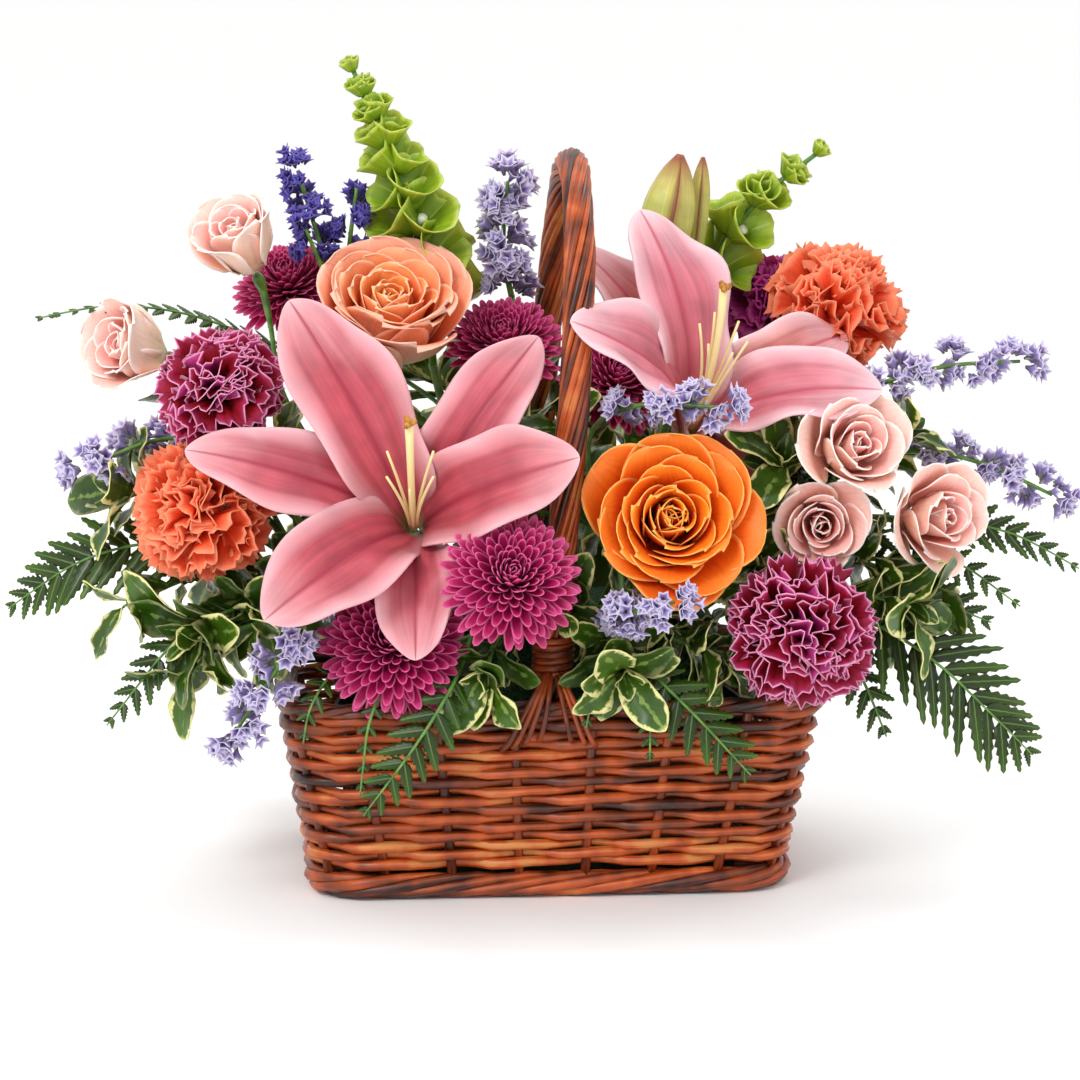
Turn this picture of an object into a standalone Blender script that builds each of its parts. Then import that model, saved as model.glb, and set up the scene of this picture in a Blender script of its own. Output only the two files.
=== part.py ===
"""Flower basket arrangement: a wicker basket with a rope handle, a lined block of floral foam, and
every bloom and frond standing in it on a stem of its own.

Lengths in the tables and formulas are millimetres, and each mesh is scaled to metres as it is made.
+Z is up, +X runs along the basket and the front faces -Y. The origin is under the middle of the
basket, on the surface that it stands on.
"""

import math
import random
from dataclasses import dataclass, replace
from functools import partial

import bmesh
import bpy
from mathutils import Matrix, Vector
from mathutils.bvhtree import BVHTree

# ---------------------------------------------------------------- driving dimensions, millimetres
MM = 0.001
GAP = 0.35
WELD = 0.001
SEED = 20

BASKET_TOP = (232.0, 150.0)
BASKET_FOOT = (202.0, 120.0)
BASKET_HEIGHT = 88.0
BASKET_CORNER = 24.0
BASKET_WALL = 8.0
BASKET_FLOOR = 6.0
STAKES = 14
WEAVE_ROWS = 6
WEAVE_RELIEF = 2.2
FOOT_BORDER = 12.0
RIM_BORDER = 5.0

HANDLE_RADIUS = 6.6
HANDLE_STRANDS = 3
HANDLE_PITCH = 170.0
HANDLE_STATIONS = 36
HANDLE_ROUTE = (
    (-1.0, -52.4, 46.0),
    (-0.5, -60.0, 92.0),
    (3.5, -64.0, 150.0),
    (8.5, -63.0, 212.0),
    (11.5, -53.0, 262.0),
    (12.5, -29.0, 294.0),
    (12.5, 0.0, 304.0),
    (11.5, 29.0, 294.0),
    (9.5, 53.0, 262.0),
    (5.5, 63.0, 212.0),
    (2.0, 64.0, 150.0),
    (0.0, 60.0, 92.0),
    (0.0, 52.4, 46.0),
)
LASHING_TURNS = 4
LASHING_CANE = 3.2
LASHING_FOOT = 95.0

LINER_TOP = (180.0, 92.0)
LINER_FOOT = (168.0, 86.0)
LINER_HEIGHT = 60.0
LINER_WALL = 1.6
FOAM = (146.0, 77.0)
FOAM_TOP = 114.0
FOAM_CHAMFER = 5.0
FOAM_CORNER = 10.0
HOLE_DEPTH = 13.0

HUB_SHARE = (0.33, 0.28)
HUB_HEIGHT = FOAM_TOP - 26.0


# ---------------------------------------------------------------- small geometry kit
def frame_at(place, axis, roll=0.0):
    """Matrix with +Z along the axis and +Y as near to upright as it can be."""
    z = Vector(axis).normalized()
    x = Vector((0.0, 0.0, 1.0)).cross(z)
    if x.length < 0.01:
        x = Vector((1.0, 0.0, 0.0))
    x.normalize()
    matrix = Matrix((x, z.cross(x), z)).transposed().to_4x4()
    matrix.translation = Vector(place)
    return matrix @ Matrix.Rotation(math.radians(roll), 4, "Z")


def smooth_route(points, stations):
    """Evenly parted points along a Catmull-Rom curve through the route's own points."""
    points = [Vector(p) for p in points]
    ends = [2 * points[0] - points[1]] + points + [2 * points[-1] - points[-2]]
    fine = []
    for a, b, c, d in zip(ends, ends[1:], ends[2:], ends[3:]):
        for k in range(12):
            t = k / 12
            bend = (2 * a - 5 * b + 4 * c - d) * t**2 + (3 * b - a - 3 * c + d) * t**3
            fine.append(0.5 * (2 * b + (c - a) * t + bend))
    fine.append(points[-1])
    lengths = [0.0]
    for a, b in zip(fine, fine[1:]):
        lengths.append(lengths[-1] + (b - a).length)
    route = []
    k = 0
    for station in range(stations + 1):
        want = lengths[-1] * station / stations
        while k < len(fine) - 2 and lengths[k + 1] < want:
            k += 1
        share = (want - lengths[k]) / max(lengths[k + 1] - lengths[k], 1e-6)
        route.append(fine[k].lerp(fine[k + 1], min(share, 1.0)))
    return route


def frames_along(route):
    """A frame at each point of a route, turned as little as possible from one to the next."""
    frames = []
    x = None
    for k, point in enumerate(route):
        z = (route[min(k + 1, len(route) - 1)] - route[max(k - 1, 0)]).normalized()
        if x is None:
            x = z.orthogonal().normalized()
        x = (x - z * x.dot(z)).normalized()
        matrix = Matrix((x, z.cross(x), z)).transposed().to_4x4()
        matrix.translation = point
        frames.append(matrix)
    return frames


def shell(surface, columns, rows, closed_ring=False):
    """Closed skin: a grid wrapped round, its side edges welded and its open ends filled flat."""
    bm = bmesh.new()
    bmesh.ops.create_grid(bm, x_segments=columns, y_segments=rows, size=1.0)
    for vert in bm.verts:
        column = round((vert.co.x + 1) / 2 * columns) % columns
        row = round((vert.co.y + 1) / 2 * rows)
        vert.co = surface(column, row % rows if closed_ring else row)
    bmesh.ops.remove_doubles(bm, verts=bm.verts, dist=WELD)
    open_edges = [edge for edge in bm.edges if edge.is_boundary]
    if open_edges:
        bmesh.ops.holes_fill(bm, edges=open_edges, sides=0)
    bmesh.ops.triangulate(bm, faces=bm.faces)
    bmesh.ops.recalc_face_normals(bm, faces=bm.faces)
    return bm


def tube(route, radius, sides):
    """Solid rod along a route; the radius is a number, or a function of the share of its length."""
    frames = frames_along(route)

    def surface(column, row):
        size = radius(row / (len(route) - 1)) if callable(radius) else radius
        turn = 2 * math.pi * column / sides
        return frames[row] @ Vector((size * math.cos(turn), size * math.sin(turn), 0.0))

    return shell(surface, sides, len(route) - 1)


def turned(profile, sides, place):
    """Solid of revolution about +Z, from (radius, height) pairs, put in place by a matrix."""

    def surface(column, row):
        turn = 2 * math.pi * column / sides
        radius, height = profile[row]
        return place @ Vector((radius * math.cos(turn), radius * math.sin(turn), height))

    return shell(surface, sides, len(profile) - 1)


def blade(surface, columns, rows, thickness):
    """Closed thin leaf or petal: two like faces that meet at its outline."""
    bm = bmesh.new()
    bmesh.ops.create_grid(bm, x_segments=columns, y_segments=rows, size=1.0)
    for vert in bm.verts:
        vert.co = surface(vert.co.x, (vert.co.y + 1) / 2)
    bmesh.ops.remove_doubles(bm, verts=bm.verts, dist=WELD)
    for corner in [vert for vert in bm.verts if len(vert.link_faces) == 1]:
        face = corner.link_faces[0]
        if len(face.verts) == 4:
            order = list(face.verts)
            bmesh.utils.face_split(face, corner, order[(order.index(corner) + 2) % 4])
    bmesh.ops.triangulate(bm, faces=bm.faces, quad_method="FIXED")
    bm.normal_update()
    front = list(bm.verts)
    inner = {vert: vert.normal.copy() for vert in front if not vert.is_boundary}
    copied = bmesh.ops.duplicate(bm, geom=bm.faces[:])
    back_faces = [item for item in copied["geom"] if isinstance(item, bmesh.types.BMFace)]
    twins = copied["vert_map"]
    for vert, normal in inner.items():
        vert.co += normal * thickness / 2
        twins[vert].co -= normal * thickness / 2
    bmesh.ops.reverse_faces(bm, faces=back_faces)
    bmesh.ops.remove_doubles(bm, verts=bm.verts, dist=WELD)
    return bm


@dataclass(frozen=True)
class Petal:
    """A petal or leaf: its own length and width, and how it leaves the axis that it grows round."""

    length: float
    width: float
    bend: tuple
    root: tuple = (0.0, 0.0)
    root_width: float = 3.0
    belly: float = 1.0
    fullness: float = 0.6
    cup: tuple = (20.0, 40.0)
    skew: float = 0.0
    wave: float = 0.0
    waves: float = 2.0
    thickness: float = 1.1


CENTRE_STEPS = 24
SLIDES = (0.0, -1.5, 1.5, -3.0, 3.0, -4.5, 4.5, -6.0, 6.0, -8.0, -10.0)


def petal_surface(petal, place, azimuth):
    """Function of (across, along) that gives the petal's points; across runs -1..1, along 0..1."""
    radius, height = petal.root
    line = []
    for step in range(CENTRE_STEPS + 1):
        share = step / CENTRE_STEPS * (len(petal.bend) - 1)
        k = min(int(share), len(petal.bend) - 2)
        lean = math.radians(petal.bend[k] + (petal.bend[k + 1] - petal.bend[k]) * (share - k))
        line.append((radius, height, lean))
        radius += petal.length / CENTRE_STEPS * math.sin(lean)
        height += petal.length / CENTRE_STEPS * math.cos(lean)
    turn = place @ Matrix.Rotation(math.radians(azimuth), 4, "Z")

    def surface(across, along):
        along = math.sin(along * math.pi / 2)
        share = along * CENTRE_STEPS
        k = min(int(share), CENTRE_STEPS - 1)
        radius, height, lean = (a + (b - a) * (share - k) for a, b in zip(line[k], line[k + 1]))
        full = math.sin(math.pi * min(along, 1.0) ** petal.belly)
        half = petal.width / 2 * max(full, 0.0) ** petal.fullness + petal.root_width / 2 * (1 - along)
        curve = petal.cup[0] + (petal.cup[1] - petal.cup[0]) * along
        side = curve * math.sin(across * half / curve)
        lift = curve * (1 - math.cos(across * half / curve)) - petal.skew * across * min(1.0, 3 * along)
        ripple = math.sin(2 * math.pi * petal.waves * along + 1.7 * across)
        lift += petal.wave * abs(across) ** 1.5 * ripple * min(1.0, 4 * (1 - along))
        return turn @ Vector(
            (radius - lift * math.cos(lean), side, height + lift * math.sin(lean))
        )

    return surface


def petal_blade(petal, place, azimuth, columns=3, rows=3):
    return blade(petal_surface(petal, place, azimuth), columns, rows, petal.thickness)


# ---------------------------------------------------------------- scene and Boolean helpers
def clear_scene():
    for obj in list(bpy.data.objects):
        bpy.data.objects.remove(obj)


def make_collection(name):
    made = bpy.data.collections.new(name)
    bpy.context.scene.collection.children.link(made)
    return made


def material(name, colour, roughness, metallic=0.0):
    made = bpy.data.materials.new(name)
    made.use_nodes = True
    shader = made.node_tree.nodes["Principled BSDF"]
    shader.inputs["Base Color"].default_value = (*colour, 1.0)
    shader.inputs["Roughness"].default_value = roughness
    shader.inputs["Metallic"].default_value = metallic
    made.diffuse_color = (*colour, 1.0)
    return made


def mesh_object(name, bm, collection):
    mesh = bpy.data.meshes.new(name)
    bm.to_mesh(mesh)
    obj = bpy.data.objects.new(name, mesh)
    collection.objects.link(obj)
    return obj


def apply_boolean(obj, collection, operation):
    """The object's mesh joined with, or cut by, all of a collection, whose objects are then removed."""
    modifier = obj.modifiers.new("join", "BOOLEAN")
    modifier.operation = operation
    modifier.operand_type = "COLLECTION"
    modifier.collection = collection
    modifier.solver = "MANIFOLD"
    bpy.context.view_layer.update()
    evaluated = obj.evaluated_get(bpy.context.evaluated_depsgraph_get())
    mesh = bpy.data.meshes.new_from_object(evaluated)
    obj.modifiers.remove(modifier)
    obj.data = mesh
    for helper in list(collection.objects):
        bpy.data.objects.remove(helper)
    bpy.data.collections.remove(collection)


def islands(bm):
    """The mesh's connected bodies, each as a list of its points, the largest first."""
    left = set(bm.verts)
    found = []
    while left:
        stack = [left.pop()]
        body = list(stack)
        while stack:
            for edge in stack.pop().link_edges:
                for vert in edge.verts:
                    if vert in left:
                        left.remove(vert)
                        body.append(vert)
                        stack.append(vert)
        found.append(body)
    return sorted(found, key=len, reverse=True)


class Arrangement:
    """The collection of finished nodes, and the surfaces that a new piece has to stay clear of."""

    def __init__(self):
        self.parts = make_collection("flower_basket_arrangement")
        self.trees = {}
        self.holes = []
        self.heads = {}

    def clear_of_all(self, bm):
        tree = BVHTree.FromBMesh(bm)
        return not any(other.overlap(tree) for other in self.trees.values())

    def seat(self, name, head, build, look):
        """Adds a bloom at its place, slid along its own axis as far as it takes to be clear."""
        axis = Vector(head.axis).normalized()
        for slide in SLIDES:
            moved = replace(head, centre=tuple(Vector(head.centre) + axis * slide))
            pieces = build(moved)
            if all(self.clear_of_all(piece) for piece in pieces):
                self.heads[name] = moved
                return self.add(name, pieces, look)
        raise ValueError(f"no clear place for {name}")

    def add(self, name, pieces, look):
        """Fuses the pieces into one body, names it and keeps it as a node."""
        holder = make_collection(name + "_pieces")
        node = mesh_object(name, pieces[0], self.parts)
        for piece in pieces[1:]:
            mesh_object(name + "_piece", piece, holder)
        if len(pieces) > 1:
            apply_boolean(node, holder, "UNION")
        bm = bmesh.new()
        bm.from_mesh(node.data)
        bmesh.ops.triangulate(bm, faces=bm.faces)
        bodies = islands(bm)
        scraps = [vert for body in bodies[1:] for vert in body]
        bmesh.ops.delete(bm, geom=scraps, context="VERTS")
        self.trees[name] = BVHTree.FromBMesh(bm)
        bmesh.ops.scale(bm, vec=(MM, MM, MM), verts=bm.verts)
        bm.to_mesh(node.data)
        node.data.shade_smooth()
        node.data.set_sharp_from_angle(angle=math.radians(40))
        node.data.materials.clear()
        node.data.materials.append(look)
        return node


# ---------------------------------------------------------------- basket, handle and filling
def rounded_rectangle(share, half_x, half_y, corner):
    """Point and outward normal at a share of the way round a rounded rectangle, from +X."""
    runs = (half_y - corner, 2 * (half_x - corner), 2 * (half_y - corner), 2 * (half_x - corner))
    arc = corner * math.pi / 2
    left = (share % 1.0) * (sum(runs) + half_y - corner + 4 * arc)
    middle = Vector((half_x - corner, 0.0))
    heading = 0.0
    for run in (*runs, half_y - corner):
        out = Vector((math.cos(heading), math.sin(heading)))
        ahead = Vector((-out.y, out.x))
        if left <= run:
            return middle + ahead * left + out * corner, out
        middle += ahead * run
        left -= run
        if left <= arc:
            turn = heading + left / corner
            out = Vector((math.cos(turn), math.sin(turn)))
            return middle + out * corner, out
        left -= arc
        heading += math.pi / 2
    return middle + Vector((1.0, 0.0)) * corner, Vector((1.0, 0.0))


def basket_wall(height, inset=0.0):
    """Half length, half width and corner radius of the basket at a height."""
    share = height / BASKET_HEIGHT
    half = [(foot + (top - foot) * share) / 2 - inset for foot, top in zip(BASKET_FOOT, BASKET_TOP)]
    return half[0], half[1], max(BASKET_CORNER - inset, 8.0)


def basket():
    """Woven body: each row runs over one stake and under the next, between a foot and a rim border."""
    columns = 2 * STAKES
    row_pitch = (BASKET_HEIGHT - FOOT_BORDER - RIM_BORDER) / WEAVE_ROWS
    rings = [(0.0, 1.2, 0.0, 0), (3.5, -1.0, 0.8, 0), (8.5, -1.2, -0.8, 0)]
    for row in range(WEAVE_ROWS):
        foot = FOOT_BORDER + row * row_pitch
        rings.append((foot, 1.2, 0.0, row))
        rings.append((foot + row_pitch / 2, 0.0, WEAVE_RELIEF, row))
    rings += [
        (BASKET_HEIGHT - RIM_BORDER, 0.8, 0.0, 0),
        (BASKET_HEIGHT - 1.5, -0.8, 0.6, 0),
        (BASKET_HEIGHT, 1.0, 0.0, 0),
        (BASKET_HEIGHT, BASKET_WALL - 1.5, 0.0, 0),
        (BASKET_HEIGHT - 3.0, BASKET_WALL, 0.0, 0),
        (BASKET_FLOOR, BASKET_WALL, 0.0, 0),
    ]

    def surface(column, row):
        height, inset, relief, phase = rings[row]
        over = 1 if (column // 2 + phase) % 2 == 0 else -1
        if column % 2 == 0:
            inset -= relief * over
        point, out = rounded_rectangle(column / columns, *basket_wall(height))
        place = point - out * inset
        return Vector((place.x, place.y, height))

    return shell(surface, columns, len(rings) - 1)


def handle_route(stations=HANDLE_STATIONS):
    return smooth_route(HANDLE_ROUTE, stations)


def handle():
    """Twisted rope of canes: a lobed section that turns as it follows the arch."""
    route = handle_route()
    frames = frames_along(route)
    step = (route[1] - route[0]).length

    def surface(column, row):
        turn = math.pi * column / HANDLE_STRANDS + 2 * math.pi * step * row / HANDLE_PITCH
        radius = HANDLE_RADIUS if column % 2 == 0 else HANDLE_RADIUS * 0.84
        return frames[row] @ Vector((radius * math.cos(turn), radius * math.sin(turn), 0.0))

    return [shell(surface, 2 * HANDLE_STRANDS, len(route) - 1)]


def lashing(front):
    """Cane turns round one leg above the rim, with two tails that run down over the weave."""
    fine = handle_route(400)
    leg = [point for point in fine if (point.y < 0) == front and point.z < 150]
    if not front:
        leg.reverse()
    rows_out = 2 * LASHING_TURNS + 1
    heights = [LASHING_FOOT + k * LASHING_CANE for k in range(rows_out)]
    centres = [min(leg, key=lambda point: abs(point.z - height)) for height in heights]
    bore = HANDLE_RADIUS + GAP + 0.5

    def surface(column, row):
        turn = 2 * math.pi * column / 8
        if row < rows_out:
            centre, radius = centres[row], bore + (1.2 if row % 2 == 0 else 2.6)
        else:
            centre, radius = centres[2 * rows_out - 1 - row], bore
        return centre + radius * Vector((math.cos(turn), math.sin(turn), 0.0))

    def skin(column, row):
        if row > rows_out:
            row = 2 * rows_out - 1
        return surface(column, row)

    side = -1.0 if front else 1.0
    foot = centres[0]
    pieces = [shell(skin, 8, rows_out + 2, closed_ring=True)]
    for spread in (-1.0, 0.75):
        tail = smooth_route(
            (
                (foot.x + 1.5 * spread, foot.y + side * 8.2, LASHING_FOOT + 3.0),
                (foot.x + 4.0 * spread, side * 77.0, 93.0),
                (foot.x + 8.0 * spread, side * 79.6, 86.0),
                (foot.x + 13.0 * spread, side * 77.6, 71.0),
            ),
            3,
        )
        pieces.append(tube(tail, 1.5, 4))
    return pieces


def liner():
    """Plastic tray that holds the foam and its water."""
    foot = BASKET_FLOOR + GAP
    profile = (
        (LINER_FOOT, foot, 0.0),
        (LINER_TOP, foot + LINER_HEIGHT, 0.0),
        (LINER_TOP, foot + LINER_HEIGHT, LINER_WALL),
        (LINER_FOOT, foot + LINER_WALL, LINER_WALL),
    )

    def surface(column, row):
        size, height, inset = profile[row]
        point, out = rounded_rectangle(column / 24, size[0] / 2, size[1] / 2, 14.0)
        place = point - out * inset
        return Vector((place.x, place.y, height))

    return [shell(surface, 24, len(profile) - 1)]


def foam_block():
    """Block of floral foam with a chamfered top."""
    foot = BASKET_FLOOR + LINER_WALL + 2 * GAP
    bm = bmesh.new()
    bmesh.ops.create_cube(bm, size=1.0)
    bmesh.ops.scale(bm, vec=(*FOAM, FOAM_TOP - foot), verts=bm.verts)
    bmesh.ops.translate(bm, vec=(0.0, 0.0, (FOAM_TOP + foot) / 2), verts=bm.verts)
    upright = [edge for edge in bm.edges if abs(edge.verts[0].co.z - edge.verts[1].co.z) > 1]
    bmesh.ops.bevel(bm, geom=upright, offset=FOAM_CORNER, segments=1, profile=0.5, affect="EDGES")
    top = [edge for edge in bm.edges if all(vert.co.z > FOAM_TOP - 1 for vert in edge.verts)]
    bmesh.ops.bevel(bm, geom=top, offset=FOAM_CHAMFER, segments=1, profile=0.5, affect="EDGES")
    bmesh.ops.triangulate(bm, faces=bm.faces)
    return bm


# ---------------------------------------------------------------- stems
def foam_exit(hub, heading):
    """Point where a straight stem from the hub leaves the foam block."""
    reach = []
    for axis, low, high in (
        (0, -FOAM[0] / 2, FOAM[0] / 2),
        (1, -FOAM[1] / 2, FOAM[1] / 2),
        (2, 0.0, FOAM_TOP),
    ):
        if abs(heading[axis]) > 1e-6:
            limit = high if heading[axis] > 0 else low
            reach.append((limit - hub[axis]) / heading[axis])
    return hub + heading * min(reach)


def stem_start(target, shift=(0.0, 0.0)):
    """Foot in the foam, point outside it, and the straight heading between them."""
    hub = Vector(
        (
            max(-54.0, min(54.0, HUB_SHARE[0] * target[0] + shift[0])),
            max(-26.0, min(26.0, HUB_SHARE[1] * target[1] + shift[1])),
            HUB_HEIGHT,
        )
    )
    heading = Vector(target) - hub
    heading.z = max(heading.z, 0.22 * heading.length)
    heading.normalize()
    leave = foam_exit(hub, heading)
    return leave - heading * HOLE_DEPTH, leave + heading * 5.0, heading


SHIFTS = [(0.0, 0.0)] + [
    (reach * math.cos(turn), reach * math.sin(turn))
    for reach in (7.0, 13.0, 19.0, 26.0)
    for turn in (0.0, 3.14, 1.57, -1.57, 0.8, 2.4, -0.8, -2.4)
]
NUDGE_WAYS = (
    (1.0, 0.0, 0.0),
    (-1.0, 0.0, 0.0),
    (0.0, 1.0, 0.0),
    (0.0, -1.0, 0.0),
    (0.0, 0.0, 1.0),
    (0.0, 0.0, -1.0),
    (0.7, 0.7, 0.0),
    (-0.7, 0.7, 0.0),
)
NUDGES = [Vector((0.0, 0.0, 0.0))] + [
    Vector(way) * reach
    for reach in (5.0, 10.0, 16.0)
    for way in NUDGE_WAYS
]


def hole_cutter(foot, heading, radius):
    """Four-sided plug, a little wider than the stem, from its foot to beyond the foam."""
    reach = [foot - heading * GAP, foot + heading * (HOLE_DEPTH + 9.0)]
    return tube(reach, (radius + 0.4) / math.cos(math.pi / 4), 4)


def curve_to(start, a, b, end, spans):
    """Points of a Bezier curve after its start."""
    found = []
    for k in range(1, spans + 1):
        t = k / spans
        middle = 3 * a * t * (1 - t) ** 2 + 3 * b * t**2 * (1 - t)
        found.append(start * (1 - t) ** 3 + middle + end * t**3)
    return found


def bent_stem(start, leave, heading, end, end_axis, nudge):
    """Route that runs straight out of the foam and curves to meet a bloom along its axis."""
    span = (end - leave).length
    a = leave + heading * span * 0.35 + nudge
    b = end - end_axis * span * 0.3 + nudge
    return [start, leave, *curve_to(leave, a, b, end, 3)]


def plant(garden, name, radius, target, build, look):
    """Stands a piece in the foam at the first spot where its stem and hole are clear of the rest."""
    for nudge in NUDGES:
        for shift in SHIFTS:
            foot, leave, heading = stem_start(target, shift)
            cutter = hole_cutter(foot, heading, radius)
            cutter_tree = BVHTree.FromBMesh(cutter)
            if any(hole.overlap(cutter_tree) for hole, _ in garden.holes):
                continue
            pieces = build(foot, leave, heading, nudge)
            if pieces and all(garden.clear_of_all(piece) for piece in pieces):
                garden.holes.append((cutter_tree, cutter))
                return garden.add(name, pieces, look)
    raise ValueError(f"no clear place for {name}")


# ---------------------------------------------------------------- blooms
@dataclass(frozen=True)
class Head:
    """Where a bloom's visible middle is, and which way it faces."""

    centre: tuple
    axis: tuple
    roll: float = 0.0
    size: float = 1.0

    def place(self, middle):
        """The bloom's own frame, with its base a middle's height behind the centre."""
        axis = Vector(self.axis).normalized()
        base = Vector(self.centre) - axis * middle * self.size
        return frame_at(base, axis, self.roll) @ Matrix.Scale(self.size, 4)


LILY_MIDDLE = 42.0
LILY_CORE = ((3.0, -2.0), (4.6, 2.0), (5.0, 7.0))
INNER_TEPAL = Petal(
    length=108.0,
    width=44.0,
    bend=(14, 34, 62, 86, 104),
    root=(2.4, 2.0),
    root_width=5.0,
    belly=1.25,
    fullness=0.85,
    cup=(16.0, 46.0),
    wave=2.2,
    thickness=1.4,
)
OUTER_TEPAL = replace(INNER_TEPAL, width=34.0, root=(3.4, 1.0), bend=(20, 40, 68, 90, 108))

# Azimuth seen from the front, from the right and anticlockwise; share of the full length; extra lean
# at the tip; whether it is one of the three broad inner tepals.
LILY_1 = Head((-59.0, -80.0, 174.0), (-0.06, -0.88, 0.46))
LILY_1_TEPALS = (
    (120.0, 1.14, 6.0, True),
    (52.0, 0.98, 6.0, False),
    (8.0, 0.88, -18.0, True),
    (274.0, 0.68, 4.0, False),
    (224.0, 0.92, 0.0, True),
    (166.0, 1.05, 0.0, False),
)
LILY_2 = Head((70.0, -44.0, 218.0), (0.27, -0.65, 0.71))
LILY_2_TEPALS = (
    (100.0, 0.98, -6.0, True),
    (124.0, 0.92, -8.0, False),
    (168.0, 0.92, -20.0, True),
    (292.0, 0.52, 40.0, False),
    (336.0, 0.86, -24.0, True),
    (14.0, 0.85, 2.0, False),
)


def lily_tepals(head, table):
    place = head.place(LILY_MIDDLE)
    pieces = [turned(LILY_CORE, 6, place)]
    for azimuth, share, extra, inner in table:
        form = INNER_TEPAL if inner else OUTER_TEPAL
        bend = tuple(angle + extra * (k / (len(form.bend) - 1)) for k, angle in enumerate(form.bend))
        form = replace(form, length=form.length * share, bend=bend)
        pieces.append(petal_blade(form, place, azimuth, 4, 4))
    return pieces


STAMEN_RISE = 1.1


def lily_stamens(head):
    """Pistil with its knobbed stigma, and six bare filaments round it, on one small seat."""
    place = head.place(LILY_MIDDLE)
    seat = LILY_CORE[-1][1] + GAP
    pieces = [turned(((3.0, seat), (3.0, seat + 5.0), (1.4, seat + 8.0)), 5, place)]
    line = [place @ Vector((0.0, STAMEN_RISE * 2.4 * k * k, seat + 2.0 + 21.0 * k)) for k in range(4)]
    pieces.append(tube(line, lambda share: 1.3 if share < 0.9 else 2.4, 4))
    for k in range(6):
        turn = math.radians(60 * k + 30)
        line = []
        for step in range(3):
            spread = 1.6 + 2.3 * step * step
            rise = STAMEN_RISE * 2.4 * step * step
            point = (spread * math.cos(turn), spread * math.sin(turn) + rise, seat + 2 + 25 * step)
            line.append(place @ Vector(point))
        pieces.append(tube(line, 0.8, 3))
    return pieces


@dataclass(frozen=True)
class Bud:
    base: tuple
    tip: tuple
    radius: float


BUD_LARGE = Bud((44.0, 12.0, 234.0), (60.0, 14.0, 306.0), 11.5)
BUD_SMALL = Bud((66.0, 24.0, 250.0), (71.0, 24.0, 304.0), 4.6)
BUD_PROFILE = ((0.0, 0.30), (0.12, 0.62), (0.40, 0.95), (0.68, 1.0), (0.88, 0.62), (1.0, 0.12))


def lily_bud(bud):
    """Closed bud: a spindle with three blunt ridges."""
    axis = Vector(bud.tip) - Vector(bud.base)
    place = frame_at(bud.base, axis)

    def surface(column, row):
        share, full = BUD_PROFILE[row]
        turn = 2 * math.pi * column / 6
        radius = bud.radius * full * (1.0 if column % 2 == 0 else 0.84)
        return place @ Vector((radius * math.cos(turn), radius * math.sin(turn), share * axis.length))

    return [shell(surface, 6, len(BUD_PROFILE) - 1)]


ROSE_MIDDLE = 24.0
ROSE_CORE = ((3.6, 0.0), (6.6, 2.0), (7.0, 10.0), (4.2, 14.0), (3.4, 30.0), (1.2, 36.0))
ROSE_LAYERS = (
    (3, Petal(31.0, 20.0, (16, 4, 0, 14), (5.5, 9.0), 3.0, 1.1, 0.5, (9.0, 10.0), skew=1.6)),
    (3, Petal(35.0, 28.0, (44, 12, 8, 34), (6.0, 7.0), 3.0, 1.2, 0.5, (14.0, 19.0), skew=2.2)),
    (5, Petal(40.0, 32.0, (64, 28, 22, 66), (6.0, 5.0), 3.0, 1.25, 0.5, (21.0, 30.0), skew=2.6)),
    (5, Petal(44.0, 40.0, (82, 52, 40, 100), (6.0, 3.0), 3.0, 1.3, 0.5, (30.0, 46.0), skew=2.8)),
)
ROSE_1 = Head((-66.0, -12.0, 241.0), (0.08, -0.58, 0.81), 14.0, 1.1)
ROSE_2 = Head((47.0, -76.0, 164.0), (0.02, -0.93, 0.36), 0.0)


def rose(head, shut=0.0):
    """Spiral of cupped petals round a tight bud; shut folds the outer layers back towards it."""
    place = head.place(ROSE_MIDDLE)
    pieces = [turned(ROSE_CORE, 6, place)]
    for layer, (count, petal) in enumerate(ROSE_LAYERS):
        bend = tuple(angle * (1 - shut * layer / 3) for angle in petal.bend)
        for k in range(count):
            azimuth = 360 * k / count + 47 * layer
            pieces.append(petal_blade(replace(petal, bend=bend), place, azimuth, 2, 3))
    return pieces


SPRAY_MIDDLE = 17.0
SPRAY_PETALS = 4
SPRAY_SKEW = 1.5
# Rings from the seat out to the outermost rim and back in, layer by layer: radius, height, and the
# share of the petals' overlap and of their rounded edge that the ring shows.
SPRAY_RINGS = (
    ((16.5, 8.0, 0.6, 0.0), (20.5, 19.0, 1.0, 1.0), (10.0, 6.0, 0.3, 0.0)),
    ((12.6, 11.0, 0.5, 0.0), (14.6, 25.0, 1.0, 0.8), (6.8, 12.0, 0.3, 0.0)),
    ((8.4, 16.0, 0.4, 0.0), (8.2, 29.0, 0.7, 0.5), (5.0, 22.0, 0.2, 0.0)),
    ((4.6, 30.0, 0.3, 0.3), (1.4, 31.5, 0.0, 0.0)),
)
SPRAY_EDGE_DROP = 4.0
SPRAY_SHUT = (0.6, 0.6, 0.35, 0.35, 0.35)
SPRAY_ROSES = (
    Head((-127.0, -8.0, 272.0), (-0.35, -0.45, 0.82)),
    Head((-173.0, -6.0, 228.0), (-0.75, -0.58, 0.30)),
    Head((125.0, -56.0, 190.0), (0.30, -0.85, 0.42)),
    Head((112.0, -60.0, 158.0), (-0.10, -0.98, 0.10), size=0.9),
    Head((162.0, -45.0, 158.0), (0.50, -0.83, 0.18)),
)


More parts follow.
